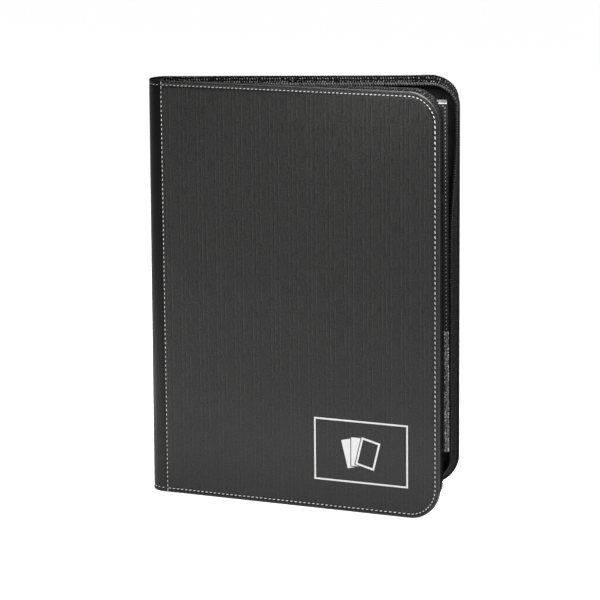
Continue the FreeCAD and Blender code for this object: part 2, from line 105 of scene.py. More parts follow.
def to_row(side, along, depth, up):
    """Row-frame points of places on a cover."""
    along, depth, up = np.broadcast_arrays(*[np.asarray(v, float) for v in (along, depth, up)])
    cos, sin = math.cos(side.turn), math.sin(side.turn)
    y = side.inward * depth
    return np.stack([along * cos - y * sin,
                     along * sin + y * cos - side.inward * HALF_DEPTH, up], -1)


def direction(side, along, depth, up):
    """Row-frame direction of a direction on a cover."""
    return to_row(side, along, depth, up) - to_row(side, 0, 0, 0)


def edge(run):
    """A cover's outline at a run along its stitches: place (along, up) and direction inward."""
    run = np.asarray(run, float)
    ends = np.cumsum([STRAIGHT, ARC, FORE, ARC, STRAIGHT])
    low_turn = (run - ends[0]) / ARC * math.pi / 2 - math.pi / 2
    high_turn = (run - ends[2]) / ARC * math.pi / 2
    choices = [run < ends[0], run < ends[1], run < ends[2], run < ends[3]]
    along = np.select(choices, [run, STRAIGHT + CORNER * np.cos(low_turn), REACH + 0 * run,
                                STRAIGHT + CORNER * np.cos(high_turn)], RUN - run)
    up = np.select(choices, [0 * run, CORNER + CORNER * np.sin(low_turn),
                             CORNER + run - ends[1], HEIGHT - CORNER + CORNER * np.sin(high_turn)],
                   HEIGHT)
    in_along = np.select(choices, [0 * run, -np.cos(low_turn), -1 + 0 * run, -np.cos(high_turn)], 0)
    in_up = np.select(choices, [1 + 0 * run, -np.sin(low_turn), 0 * run, -np.sin(high_turn)], -1)
    return along, up, in_along, in_up


def inset_points(side, run, inset, depth):
    """Row-frame points at an inset from a cover's outline and a depth, and their places."""
    along, up, in_along, in_up = edge(run)
    along, up = along + inset * in_along, up + inset * in_up
    depth = depth + 0 * along
    return to_row(side, along, depth, up), np.stack([along, depth, up], -1)


def spine_point(angle, offset, up):
    """A point of the spine: angle from its middle towards the back, offset into the book, up.

    The spine has filled out, the more the nearer to its foot.
    """
    angle, offset, up = np.broadcast_arrays(*[np.asarray(v, float) for v in (angle, offset, up)])
    radius = SPINE_RADIUS - offset
    filled = FULL_TOP + (FULL_FOOT - FULL_TOP) * (1 - up / HEIGHT) ** 0.8
    filled = filled * np.clip(1 - (angle / SPINE_HALF) ** 4, 0, 1)
    return np.stack([SPINE_CENTRE - filled - radius * np.cos(angle), radius * np.sin(angle), up], -1)


# ---------------------------------------------------------------- meshes

class Build:
    """Collects the surfaces of one mesh: points, their places for the materials, and faces."""

    def __init__(self):
        self.points, self.places, self.faces, self.count = [], [], [], 0

    def add(self, points, places, faces, slot=0):
        """faces is one array, or a list of arrays, with a row of point numbers for each face."""
        points = np.asarray(points, float).reshape(-1, 3)
        places = np.asarray(places, float).reshape(-1, 3)
        for part in faces if isinstance(faces, list) else [faces]:
            self.faces.append((np.atleast_2d(part) + self.count, slot))
        self.points.append(points)
        self.places.append(places)
        self.count += len(points)

    def add_faces(self, faces, slot):
        """Faces of another material on the points of the first surface."""
        self.faces.append((faces, slot))

    def mesh(self, name, materials, sharp=None):
        data = bpy.data.meshes.new(name)
        points = np.concatenate(self.points) * MM
        corners = np.concatenate([part.ravel() for part, _ in self.faces])
        totals = np.concatenate([np.full(len(part), part.shape[1]) for part, _ in self.faces])
        slots = np.concatenate([np.full(len(part), slot) for part, slot in self.faces])
        data.vertices.add(len(points))
        data.vertices.foreach_set("co", points.astype(np.float32).ravel())
        data.loops.add(len(corners))
        data.loops.foreach_set("vertex_index", corners.astype(np.int32))
        data.polygons.add(len(totals))
        data.polygons.foreach_set("loop_start", (np.cumsum(totals) - totals).astype(np.int32))
        data.polygons.foreach_set("material_index", slots.astype(np.int32))
        place = data.attributes.new("place", "FLOAT_VECTOR", "POINT")
        place.data.foreach_set("vector", np.concatenate(self.places).astype(np.float32).ravel())
        data.update(calc_edges=True)
        data.validate()
        working = bmesh.new()
        working.from_mesh(data)
        bmesh.ops.recalc_face_normals(working, faces=working.faces)
        working.to_mesh(data)
        working.free()
        data.shade_smooth()
        if sharp:
            data.set_sharp_from_angle(angle=math.radians(sharp))
        for material in materials:
            data.materials.append(material)
        return data


def grid_faces(rows, columns, close_rows=False, close_columns=False):
    """Quads of a grid of points, whose first and last rows or columns may be joined."""
    index = np.arange(rows * columns).reshape(rows, columns)
    if close_rows:
        index = np.vstack([index, index[:1]])
    if close_columns:
        index = np.hstack([index, index[:, :1]])
    return np.stack([index[:-1, :-1], index[1:, :-1], index[1:, 1:], index[:-1, 1:]],
                    -1).reshape(-1, 4)


def tube_faces(rows, columns):
    """Faces of a grid whose columns close into a tube, with a face over each end."""
    end = np.arange(columns)[None]
    return [grid_faces(rows, columns, close_columns=True), end, end + (rows - 1) * columns]


def slab_faces(rows, columns):
    """Faces of two grids of points, one behind the other: the front, the back and the rim."""
    count = rows * columns
    front = grid_faces(rows, columns)
    index = np.arange(count).reshape(rows, columns)
    rim = np.concatenate([index[0], index[1:, -1], index[-1, -2::-1], index[-2:0:-1, 0]])
    after = np.roll(rim, -1)
    return front, front[:, ::-1] + count, np.stack([rim, after, after + count, rim + count], -1)


def piece(name, data, slot, body=None, bend=None, nodes=(), place=(0, 0, 0)):
    """An object of the binder: the body that it rides on, or, given a bend, its transform baked into
    its mesh; and the CAD nodes that it stands for, which it hides.
    """
    made = bpy.data.objects.new(name, data)
    made.location = place
    bpy.context.scene.collection.objects.link(made)
    if body:
        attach(made, body)
    if bend:
        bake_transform(made)
    if nodes:
        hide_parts(*nodes)
    return made


def bend_between(body_a, body_b, start, end):
    """The two bodies and the two row-frame points, in metres, of a bend between them; piece() only
    bakes the transform of a piece given one.
    """
    return body_a, body_b, tuple(start * MM), tuple(end * MM)


BLEND_REACH = 3.0               # how far a soft piece bends, each side of a crease
CREASE = 8.075
FRONT_BEND = bend_between("front_joint", "front_cover",
                          to_row(FRONT, CREASE - BLEND_REACH, 0, 0),
                          to_row(FRONT, CREASE + BLEND_REACH, 0, 0))


def on_cover(side):
    """What piece() needs for a piece of a cover that crosses its crease."""
    return {"bend": FRONT_BEND} if side is FRONT else {"body": side.body}


def spine_bend(side):
    """The bend between the spine and a cover's first crease."""
    turn = -side.inward * (SPINE_HALF - BLEND_REACH / SPINE_RADIUS)
    other = "front_joint" if side is FRONT else "back_cover"
    return bend_between("spine", other, spine_point(turn, 0, 0), to_row(side, BLEND_REACH, 0, 0))


# ---------------------------------------------------------------- materials

class Nodes:
    """Short names for the nodes of one material. Lengths in its patterns are millimetres.

    The inputs are the shader's own, with _ for each space in their names.
    """

    def __init__(self, name, cad=False, **inputs):
        self.material = bpy.data.materials.new(name)
        self.material.use_nodes = True
        self.tree = self.material.node_tree
        self.shader = self.tree.nodes["Principled BSDF"]
        for socket, value in inputs.items():
            self.shader.inputs[socket.replace("_", " ")].default_value = value
        if cad:
            source = self.node("ShaderNodeTexCoord").outputs["Object"]
            self.place = self.scaled(source, (1 / MM,) * 3)
        else:
            attribute = self.node("ShaderNodeAttribute")
            attribute.attribute_name = "place"
            self.place = attribute.outputs["Vector"]

    def node(self, kind, **settings):
        made = self.tree.nodes.new(kind)
        for key, value in settings.items():
            setattr(made, key, value)
        return made

    def put(self, socket, value):
        if isinstance(value, bpy.types.NodeSocket):
            self.tree.links.new(value, socket)
        else:
            socket.default_value = value

    def scaled(self, vector, factors):
        made = self.node("ShaderNodeVectorMath", operation="MULTIPLY")
        self.put(made.inputs[0], vector)
        made.inputs[1].default_value = factors
        return made.outputs[0]

    def axis(self, name, vector=None):
        made = self.node("ShaderNodeSeparateXYZ")
        self.put(made.inputs[0], vector or self.place)
        return made.outputs[name]

    def noise(self, factors, detail=2.0, roughness=0.5, distortion=0.0):
        """Noise whose grains are 1 / factors millimetres along each axis."""
        made = self.node("ShaderNodeTexNoise")
        self.put(made.inputs["Vector"], self.scaled(self.place, factors))
        for socket, value in (("Scale", 1.0), ("Detail", detail), ("Roughness", roughness),
                              ("Distortion", distortion)):
            made.inputs[socket].default_value = value
        return made.outputs["Fac"]

    def cells(self, factors):
        """How far a point is from the middle of its cell."""
        made = self.node("ShaderNodeTexVoronoi")
        self.put(made.inputs["Vector"], self.scaled(self.place, factors))
        made.inputs["Scale"].default_value = 1.0
        return made.outputs["Distance"]

    def math(self, operation, first, second=0.0, third=0.0):
        made = self.node("ShaderNodeMath", operation=operation)
        for socket, value in zip(made.inputs, (first, second, third)):
            self.put(socket, value)
        return made.outputs[0]

    def waves(self, value, length, phase=0.0):
        """A sine of a value with a wavelength, from 0 to 1."""
        turn = self.math("MULTIPLY_ADD", value, 2 * math.pi / length, phase)
        return self.math("MULTIPLY_ADD", self.math("SINE", turn), 0.5, 0.5)

    def levels(self, value, low, high):
        """A value stretched so that low gives 0 and high gives 1."""
        made = self.node("ShaderNodeMapRange", interpolation_type="SMOOTHSTEP")
        for socket, number in zip(made.inputs, (value, low, high)):
            self.put(socket, number)
        return made.outputs[0]

    def colours(self, share, low, high):
        made = self.node("ShaderNodeMix", data_type="RGBA")
        self.put(made.inputs[0], share)
        made.inputs[6].default_value = (*low, 1)
        made.inputs[7].default_value = (*high, 1)
        self.put(self.shader.inputs["Base Color"], made.outputs[2])

    def roughness(self, share, low, high):
        self.put(self.shader.inputs["Roughness"],
                 self.math("MULTIPLY_ADD", share, high - low, low))

    def bump(self, height, distance):
        """Relief of a height from 0 to 1 that stands for distance millimetres."""
        made = self.node("ShaderNodeBump")
        made.inputs["Strength"].default_value = 1.0
        made.inputs["Distance"].default_value = distance * MM
        self.put(made.inputs["Height"], height)
        self.put(self.shader.inputs["Normal"], made.outputs[0])


def grey(value, warmth=0.0):
    return (value * (1 + warmth), value, value * (1 - warmth))


def grained(name, factors, low, high, roughness, relief, detail=3, clear=None, **inputs):
    """A material whose colour, roughness and relief all follow one noise."""
    made = Nodes(name, **inputs)
    grain = made.noise(factors, detail=detail)
    made.colours(made.levels(grain, *clear) if clear else grain, low, high)
    made.roughness(grain, *roughness)
    made.bump(grain, relief)
    return made.material


LINE_GROUP = 16.5               # from one group of upright lines in the leather to the next
LINE_OFFSETS = (0.0, 3.6, 7.7)


def panel_leather():
    """Charcoal leatherette: fine grain, and groups of fine upright lines broken into dashes.

    The lines are clear near the top and faint near the foot. Painted shade darkens the lines and the
    groove along the stitches; painted highlights lighten a line beside each and the rolled edge.
    """
    made = Nodes("panel_leather", Specular_IOR_Level=0.33)
    across = made.axis("X")
    grain = made.noise((1.0, 1.0, 0.7), detail=3, roughness=0.6)
    clear = made.math("MULTIPLY_ADD", made.levels(made.axis("Z"), 20.0, 180.0), 0.65, 0.35)
    dashes = made.levels(made.noise((0.3, 0.1, 0.13), detail=1), 0.42, 0.56)
    dashes = made.math("MULTIPLY", dashes, clear)
    faint = made.levels(made.noise((1.1, 0.2, 0.09), detail=1), 0.5, 0.7)
    faint = made.math("MULTIPLY", faint, clear)

    def lines(shift):
        found = None
        for offset in LINE_OFFSETS:
            phase = math.pi / 2 - 2 * math.pi * (offset + shift) / LINE_GROUP
            line = made.levels(made.waves(across, LINE_GROUP, phase), 0.99, 1.0)
            found = line if found is None else made.math("MAXIMUM", found, line)
        return made.math("MULTIPLY", found, dashes)

    # Painted shade and highlight: each pressed line is also painted darker, and a line 0.95 mm beside
    # it is painted lighter, as if lit from one side.
    pressed_and_shaded = made.math("MULTIPLY_ADD", faint, 0.5, lines(0.0))
    painted_line_highlight = lines(0.95)
    tone = made.math("MULTIPLY_ADD", pressed_and_shaded, -0.3, grain)
    tone = made.math("MULTIPLY_ADD", painted_line_highlight, 0.36, tone)
    deep = made.axis("Y")
    # Painted shade: the groove along the stitches is painted darker.
    painted_groove_shade = made.math("SUBTRACT", made.levels(deep, 0.1, 0.5), made.levels(deep, 0.5, 0.8))
    tone = made.math("MULTIPLY_ADD", painted_groove_shade, -0.25, tone)
    # Painted highlight: the rolled edge, and all that lies deeper than it, is painted lighter, broken
    # up by the grain.
    painted_rim_highlight = made.math("MULTIPLY", made.levels(deep, 0.5, 0.8), made.levels(grain, 0.1, 0.6))
    tone = made.math("MULTIPLY", made.levels(tone, 0.25, 0.75), 0.34)
    tone = made.math("MULTIPLY_ADD", painted_rim_highlight, 0.66, tone)
    made.colours(tone, grey(0.001, 0.03), grey(0.057, 0.03))
    made.roughness(grain, 0.3, 0.46)
    made.bump(made.math("MULTIPLY_ADD", pressed_and_shaded, -0.5, grain), 0.28)
    return made.material


def spine_leather():
    """Smoother, darker leatherette, painted paler towards its foot and its seams: painted light, as
    from the bright floor below and from the front.
    """
    made = Nodes("spine_leather", Specular_IOR_Level=0.05)
    grain = made.noise((1.8, 1.8, 1.2), detail=3)
    folds = made.noise((0.25, 0.25, 0.02))
    # Painted light: the colour grows paler towards the foot and towards the seams.
    foot = made.levels(made.axis("Z"), HEIGHT, -0.9 * HEIGHT)
    near_seam = made.levels(made.axis("X"), 4.0, SPINE_HALF * SPINE_RADIUS)
    foot = made.math("MULTIPLY_ADD", foot, 0.95, 0.05)
    painted_spine_light = made.math("MULTIPLY", foot, made.math("MULTIPLY_ADD", near_seam, 0.9, 0.1))
    painted_spine_light = made.math("MULTIPLY", painted_spine_light, made.math("MULTIPLY_ADD", grain, 0.8, 0.6))
    made.colours(painted_spine_light, grey(0.001, 0.02), grey(0.06, 0.02))
    made.roughness(folds, 0.4, 0.52)
    made.bump(made.math("MULTIPLY_ADD", folds, 0.8, made.math("MULTIPLY", grain, 0.35)), 0.12)
    return made.material


def cloth(name, dark, light, pitch, relief=0.1):
    """A close weave: warp and weft cross over and under at a pitch."""
    made = Nodes(name, Sheen_Weight=0.02, Sheen_Roughness=0.4, Specular_IOR_Level=0.0)
    warp = made.waves(made.axis("X"), pitch)
    weft = made.waves(made.axis("Z"), pitch)
    weave = made.math("ABSOLUTE", made.math("SUBTRACT", warp, weft))
    uneven = made.noise((0.08, 0.08, 0.08))
    made.colours(made.math("MULTIPLY", weave, uneven), grey(dark), grey(light))
    made.roughness(weave, 0.75, 0.9)
    made.bump(weave, relief)
    return made.material


def top_light_share(made):
    """How far a place along a zip is onto its top side, where it is painted lighter, as if lit from
    above: from 0.2 to 1.
    """
    top = made.levels(made.axis("X"), RUN - STRAIGHT - ARC, RUN - STRAIGHT)
    return made.math("MULTIPLY_ADD", top, 0.8, 0.2)


def zip_tape(name, light):
    """Woven tape. Its place is (run along it, run across it, height of its ribs)."""
    made = Nodes(name, Sheen_Weight=0.02, Sheen_Roughness=0.4, Specular_IOR_Level=0.0)
    rib = made.axis("Z")
    threads = made.noise((0.42, 0.7, 0.1), detail=3, roughness=0.7)
    # Painted highlight: the rib crests are painted lighter in flecks, most along the top; off the top
    # the tape is instead evenly a little lighter.
    painted_rib_highlight = made.math("MULTIPLY", made.levels(rib, 0.45, 0.9), made.levels(threads, 0.47, 0.56))
    top = top_light_share(made)
    off_top_lift = made.math("MULTIPLY_ADD", top, -0.07, 0.07)
    made.colours(made.math("MULTIPLY_ADD", painted_rib_highlight, top, off_top_lift), grey(0.004), grey(light))
    made.roughness(threads, 0.55, 0.85)
    made.bump(threads, 0.12)
    return made.material


def zip_coil(name, light, gloss):
    """Nylon wire, slightly shiny, with spots painted lighter along the top, as if lit from above."""
    made = Nodes(name, Specular_IOR_Level=gloss)
    spots = made.noise((0.5, 2.0, 2.0))
    # Painted light: spots of the wire are painted lighter, most along the top.
    lighter_share = made.math("MULTIPLY", made.levels(spots, 0.35, 0.58), top_light_share(made))
    made.colours(lighter_share, grey(0.004), grey(light))
    made.roughness(spots, 0.25, 0.45)
    made.bump(spots, 0.05)
    return made.material


def thread(name, dark, light, lighter_share=0.0):
    """Twisted thread. Its place is (run along the stitch, way across it, a number of its own).

    The last argument is how much lighter the stitches below the top corners are painted; the top row
    is left darker, as painted shade in its groove.
    """
    made = Nodes(name, Sheen_Weight=0.2 * light[0], Specular_IOR_Level=0.3 * light[0])
    lean = made.math("MULTIPLY_ADD", made.axis("Y"), 1.4, made.axis("X"))
    twist = made.waves(lean, 0.62)
    own = made.noise((0.05, 0.05, 0.71), detail=1)
    share = made.math("MULTIPLY_ADD", twist, 0.5, made.math("MULTIPLY", own, 0.6))
    # Painted shade: the stitches of the top row are left darker than the rest.
    if lighter_share:
        up = made.axis("Z", made.node("ShaderNodeTexCoord").outputs["Object"])
        unshaded_share = made.levels(up, (HEIGHT - STITCH_INSET) * MM, (HEIGHT - CORNER) * MM)
        share = made.math("MULTIPLY_ADD", unshaded_share, lighter_share, made.math("MULTIPLY", share, 0.35))
    made.colours(share, dark, light)
    made.roughness(twist, 0.55, 0.8)
    made.bump(twist, 0.08)
    return made.material


def foam():
    made = Nodes("foam")
    pores = made.cells((1.6, 1.6, 1.6))
    made.colours(pores, grey(0.008), grey(0.03))
    made.roughness(pores, 0.8, 0.95)
    made.bump(pores, 0.2)
    return made.material


def clear_film():
    """Glossy clear film that lies on black sheet, with soft waves in it."""
    made = Nodes("clear_film", Coat_Weight=0.6, Coat_Roughness=0.05, Specular_IOR_Level=0.6)
    waves = made.noise((0.05, 0.05, 0.035), detail=3, distortion=0.6)
    lighter_share = made.noise((1.2, 1.2, 1.2))
    made.colours(lighter_share, grey(0.012), grey(0.022))
    made.roughness(lighter_share, 0.12, 0.24)
    made.bump(waves, 1.1)
    return made.material


def crinkled_film():
    """Film pressed into small folds, with glints painted into its colour as painted reflections, most
    towards the strip's edges.
    """
    made = Nodes("crinkled_film", Specular_IOR_Level=0.8)
    folds = made.noise((0.75, 0.75, 0.6), detail=4, roughness=0.65, distortion=1.2)
    aside = made.math("ABSOLUTE", made.math("SUBTRACT", made.axis("X"), PAGE_END - 2.0))
    # Painted reflection: white glints where the folds rise, most towards both edges of the strip.
    toward_strip_edges = made.levels(aside, 0.7, 1.5)
    painted_glint = made.math("MULTIPLY", made.levels(folds, 0.5, 0.62),
                      made.math("MULTIPLY_ADD", toward_strip_edges, 0.7, 0.3))
    made.colours(painted_glint, grey(0.008), grey(0.75))
    made.roughness(folds, 0.1, 0.4)
    made.bump(folds, 0.5)
    return made.material


LEATHER = panel_leather()
# A darker, duller copy of the leather for the outer face of the rolled edge: its darker colour is
# painted shade.
SHADED_EDGE_LEATHER = grained("edge_leather", (1.0, 1.0, 0.7), grey(0.001), grey(0.005), (0.6, 0.8), 0.2,
                       Specular_IOR_Level=0.05)
SPINE_LEATHER = spine_leather()
LINING = cloth("lining_cloth", 0.008, 0.04, 0.9)
# A darker copy of the lining cloth for the foam of the spine: painted shade.
SHADED_SPINE_CLOTH = cloth("shaded_spine_cloth", 0.003, 0.016, 0.9)
PAGE_SHEET = cloth("page_sheet", 0.015, 0.055, 0.7, relief=0.06)
TAPE = zip_tape("zip_tape", 0.21)
# The front zip's tape and coil, here and below, are darker copies of the back zip's: painted shade.
SHADED_FRONT_TAPE = zip_tape("front_zip_tape", 0.12)
COIL = zip_coil("zip_coil", 0.15, 0.12)
SHADED_FRONT_COIL = zip_coil("front_zip_coil", 0.03, 0.0)
THREAD = thread("stitching", grey(0.3, 0.02), grey(0.98, 0.02), lighter_share=0.62)
DARK_THREAD = thread("dark_thread", grey(0.02), grey(0.06))
COIL_THREAD = thread("coil_thread", grey(0.005), grey(0.03))
PAGE_THREAD = thread("page_thread", grey(0.3), grey(0.8))
FOAM = foam()
BOARD = grained("greyboard", (0.9, 0.9, 2.2), (0.16, 0.145, 0.125), (0.34, 0.315, 0.28),
                (0.8, 0.95), 0.1, detail=4, cad=True)
FILM = clear_film()
# The film edges' light grey is painted highlight: the edges of clear film catching the light.
FILM_EDGE = grained("film_edge", (1.1, 2.0, 0.5), grey(0.3), grey(0.75), (0.15, 0.35), 0.1,
                    clear=(0.35, 0.6), Specular_IOR_Level=0.7)
CRINKLE = crinkled_film()
METAL = grained("zip_metal", (0.3, 4.0, 4.0), grey(0.05), grey(0.13), (0.22, 0.42), 0.02,
                cad=True, Metallic=1.0)
INK = grained("emblem_print", (1.5, 1.5, 1.5), grey(0.62), grey(0.8), (0.4, 0.6), 0.08,
              clear=(0.2, 0.6), cad=True, Specular_IOR_Level=0.4)


# ---------------------------------------------------------------- stitches

def add_stitches(build, centres, along, out, length, radius, slot=0, dive=0.35, tilt=7.0,
                 rings=7, sides=6, stretch=1.0):
    """Round-ended stitches that rise in their middle and dive into the holes at their ends.

    along is the way they run and out the way that they rise, one for all or one for each.
    """
    along, out = np.broadcast_to(along, centres.shape), np.broadcast_to(out, centres.shape)
    across = np.cross(out, along)
    turn = math.radians(tilt)
    along, across = (along * math.cos(turn) + across * math.sin(turn),
                     across * math.cos(turn) - along * math.sin(turn))
    step = np.linspace(-1, 1, rings)[:, None]
    angle = np.linspace(0, 2 * math.pi, sides, endpoint=False)[None, :]
    thick = radius * (1 - 0.62 * np.abs(step) ** 3)
    run = 0 * angle + step * length / 2
    side = thick * np.cos(angle)
    rise = 0.85 * thick * np.sin(angle) - dive * step ** 2
    local = np.stack([run, side, rise], -1).reshape(-1, 3)
    axes = np.stack([along * stretch, across, out], 1)
    points = centres[:, None, :] + np.einsum("pk,nkj->npj", local, axes)
    own = np.arange(len(centres))[:, None] + 0 * local[None, :, 0]
    places = np.stack([own * 0 + local[None, :, 0], own * 0 + local[None, :, 1], own], -1)
    offsets = (np.arange(len(centres)) * rings * sides)[:, None, None]
    faces = [(part + offsets).reshape(-1, part.shape[1]) for part in tube_faces(rings, sides)]
    build.add(points, places, faces, slot)


STITCH_LENGTH = 2.65            # where its holes are STITCH_PITCH apart
STITCH_RADIUS = 0.35
SEAM_STITCH_RADIUS = 0.27
# How long the stitches are beside the mean, at runs round a cover: longest along the fore edge
# and tight round the corners.
STRETCHES = ((0, 0.98), (STRAIGHT - 5, 1.06), (STRAIGHT + 0.5 * ARC, 0.7),
             (STRAIGHT + ARC + 5, 1.0), (RUN - STRAIGHT - ARC, 1.1),
             (RUN - STRAIGHT - 0.5 * ARC, 0.84), (RUN - STRAIGHT, 0.95), (RUN, 0.9))


def edge_holes(per_stitch=1):
    """Runs of the holes of a cover's edge stitches, or of points that divide each stitch."""
    runs = np.linspace(SEAM_LINE, RUN - SEAM_LINE, 2000)
    passed = np.cumsum(1 / np.interp(runs, *zip(*STRETCHES)))
    passed = (passed - passed[0]) / (passed[-1] - passed[0])
    count = round((RUN - 2 * SEAM_LINE) / STITCH_PITCH)
    return np.interp(np.linspace(0, 1, count * per_stitch + 1), passed, runs)


def stitch_edge(side):
    """The row of stitches round a cover's free edges."""
    holes = edge_holes()
    runs = (holes[1:] + holes[:-1]) / 2
    depth = GROOVE_DEPTH - 0.16
    centres, _ = inset_points(side, runs, STITCH_INSET, depth)
    _, _, in_along, in_up = edge(runs)
    build = Build()
    add_stitches(build, centres, direction(side, in_up, 0, -in_along), direction(side, 0, -1, 0),
                 STITCH_LENGTH, STITCH_RADIUS, stretch=(np.diff(holes) / STITCH_PITCH)[:, None])
    name = side.name + "_edge_stitches"
    piece(name, build.mesh(name, [THREAD]), "stitching", nodes=[side.name + "_edge_thread"],
          **on_cover(side))


def stitch_seam(side):
    """The row of stitches beside the seam, from the foot to the top."""
    count = round(HEIGHT / STITCH_PITCH)
    up = (np.arange(count) + 0.5) * HEIGHT / count
    centres = to_row(side, SEAM_LINE, SEAM_GROOVE - 0.1, up)
    build = Build()
    add_stitches(build, centres, UP, direction(side, 0, -1, 0), STITCH_LENGTH, SEAM_STITCH_RADIUS,
                 tilt=-4)
    name = side.name + "_seam_stitches"
    body = "front_joint" if side is FRONT else "back_cover"
    piece(name, build.mesh(name, [THREAD]), "stitching", body=body,
          nodes=[side.name + "_seam_thread"])


def stitch_hems():
    """Stitches across the spine, near its top and foot."""
    half = SPINE_HALF - 0.03
    count = round(2 * half * SPINE_RADIUS / STITCH_PITCH)
    turns = -half + (np.arange(count) + 0.5) * 2 * half / count
    build = Build()
    for up in (STITCH_INSET, HEIGHT - STITCH_INSET):
        centres = spine_point(turns, HEM_GROOVE - 0.15, up)
        out = np.stack([-np.cos(turns), np.sin(turns), 0 * turns], -1)
        along = np.stack([np.sin(turns), np.cos(turns), 0 * turns], -1)
        add_stitches(build, centres, along, out, STITCH_LENGTH, SEAM_STITCH_RADIUS)
    piece("spine_hem_stitches", build.mesh("spine_hem_stitches", [THREAD]), "stitching",
          body="spine", nodes=["spine_hem_thread"])


# ---------------------------------------------------------------- layers of a cover

GROOVE_DEPTH = 0.56             # of the stitch line, below the padded field
SEAM_GROOVE = 0.42
HEM_GROOVE = 0.3
FIELD_INSET = 20.0
PUCKER = 0.17                   # extra depth at each stitch hole


def thickness(along):
    """A cover's thickness: thin where it bends beside the spine, full over its board."""
    return STRIP_THICK + (COVER_THICK - STRIP_THICK) * smooth((along - 7) / 3.5)


def panel_layer(side, runs, profile, relief=None, edge_rows=None):
    """A closed layer of a cover, as a Build.

    profile is its section at the free edge, from the field of the outer face, over the edge and
    back to the field of the inner face. Each point of it is (inset, depth, share of the cover's
    thickness added to that depth). relief adds depth from (run, along, inset, on outer face).
    edge_rows is the range of the profile's spans whose faces have the second material.
    """
    rows = []
    for inset, depth, share in profile:
        along, up, in_along, in_up = edge(runs)
        along, up = along + inset * in_along, up + inset * in_up
        here = depth + share * thickness(along)
        if relief:
            here = here + relief(runs, along, inset, share == 0)
        rows.append(np.stack([along, here, up], -1))
    places = np.stack(rows)
    points = to_row(side, places[..., 0], places[..., 1], places[..., 2])
    count = len(runs)
    last = (len(profile) - 1) * count
    fore = int(np.searchsorted(runs, STRAIGHT + ARC))
    start, end = edge_rows or (0, 0)
    skin = grid_faces(len(profile), count)
    row = skin.min(1) // count
    on_edge = (row >= start) & (row < end)
    faces = [skin[~on_edge]]
    lower = np.arange(fore)
    for first in (0, last):
        bottom, top = first + lower, first + count - 1 - lower
        faces.append(np.stack([bottom, bottom + 1, top - 1, top], -1))
        faces.append(np.arange(first + fore, first + count - fore)[None])
    section = np.arange(len(profile)) * count
    faces += [section[None], section[None] + count - 1,
              np.array([[0, count - 1, last + count - 1, last]])]
    build = Build()
    build.add(points, places, faces)
    if end:
        build.add_faces(skin[on_edge], 1)
    return build


def even_runs(near, step):
    """Runs round a cover from near its seam, evenly spaced."""
    return np.linspace(near, RUN - near, int((RUN - 2 * near) / step))


def make_leather(side):
    """The skin of a cover, wrapped over its edges and puckered along its stitches."""
    regular = edge_holes(4)
    near_seam = np.array([0.0, 0.12, 0.35, 0.65])
    runs = np.concatenate([near_seam, regular, RUN - near_seam[::-1]])
    passed = np.arange(len(regular)) / 4
    seam_along = [0, 0.12, 0.35, 0.65, 1.0, 1.6, 2.4, 4, 8, 13]
    seam_drop = [0.72, 0.45, 0.28, 0.34, SEAM_GROOVE, 0.3, 0.16, 0.09, 0.07, 0]

    def relief(run, along, inset, outer):
        if not outer:
            return 0.0
        near_line = math.exp(-((inset - STITCH_INSET) / 0.8) ** 2)
        holes = 0.5 + 0.5 * np.cos(2 * math.pi * np.interp(run, regular, passed))
        drop = np.interp(along, seam_along, seam_drop) * (1 - near_line)
        return drop + PUCKER * near_line * (holes ** 3 - 0.3)

    outer = [(FIELD_INSET, 0), (12, 0), (9, 0.01), (7, 0.04), (6, 0.09), (5.2, 0.18),
             (4.6, 0.32), (4.1, 0.48), (STITCH_INSET, GROOVE_DEPTH), (2.9, 0.46), (2.4, 0.28),
             (2.0, 0.16), (1.5, 0.1), (1.1, 0.12), (0.75, 0.21), (0.45, 0.38)]
    rim = [(0.2, 0.5, 0.04), (0.06, 0.6, 0.1), (0, 0.6, 0.17), (0, 0, 0.7), (0.08, 0, 0.84),
           (0.35, 0, 0.95), (0.75, 0, 1.0), (1.1, 0, 0.96), (1.3, 0, 0.84), (1.35, 0, 0.6)]
    under = LEATHER_THICK - 0.04
    inside = [(1.4, under, 0.02), (3, under, 0.02), (FIELD_INSET, under, 0.02)]
    profile = [(inset, depth, 0) for inset, depth in outer] + rim + inside
    build = panel_layer(side, runs, profile, relief, (len(outer) + 2, len(outer) + 4))
    name = side.name + "_leather"
    piece(name, build.mesh(name, [LEATHER, SHADED_EDGE_LEATHER]), "panel_leather",
          nodes=[side.name + "_cover_skin", side.name + "_hinge_strip"], **on_cover(side))


def make_foam(side):
    """The foam sheet under a cover's skin, with soft edges."""
    profile = [(FIELD_INSET, 0.92, 0), (6, 0.94, 0), (3, 1.0, 0), (2.1, 1.1, 0), (1.7, 1.25, 0),
               (1.6, 1.4, 0), (1.8, 1.55, 0), (2.4, 1.62, 0), (FIELD_INSET, 1.64, 0)]
    name = side.name + "_foam"
    data = panel_layer(side, even_runs(9.8, 4), profile).mesh(name, [FOAM])
    made = piece(name, data, "foam", body=side.body, nodes=[side.name + "_cover_padding"])


def make_lining(side):
    """The cloth inside a cover, which also crosses its crease."""
    profile = [(FIELD_INSET, -0.55, 1), (3.6, -0.55, 1), (3.1, -0.5, 1), (2.95, -0.35, 1),
               (3.0, -0.18, 1), (3.3, -0.07, 1), (4.0, -0.04, 1), (FIELD_INSET, -0.04, 1)]
    near = np.array([0.6, 1.5, 3, 4.5, 5.5, 6.5, 7, 7.5, 8, 8.5, 9, 9.5, 10, 10.5])
    runs = np.concatenate([near, even_runs(12, 3), RUN - near[::-1]])
    name = side.name + "_lining"
    data = panel_layer(side, runs, profile).mesh(name, [LINING])
    piece(name, data, "lining_cloth", nodes=[side.name + "_cover_lining"], **on_cover(side))


# ---------------------------------------------------------------- spine

SEAM_TURN = 0.05                # the angle over which the skin turns down beside a seam
HEM_PUCKER = 0.1
CORE_HALF = 0.9                 # half the angle that the foam takes up
CORE_OFFSET = 1.35              # of the foam, from the outside of the skin


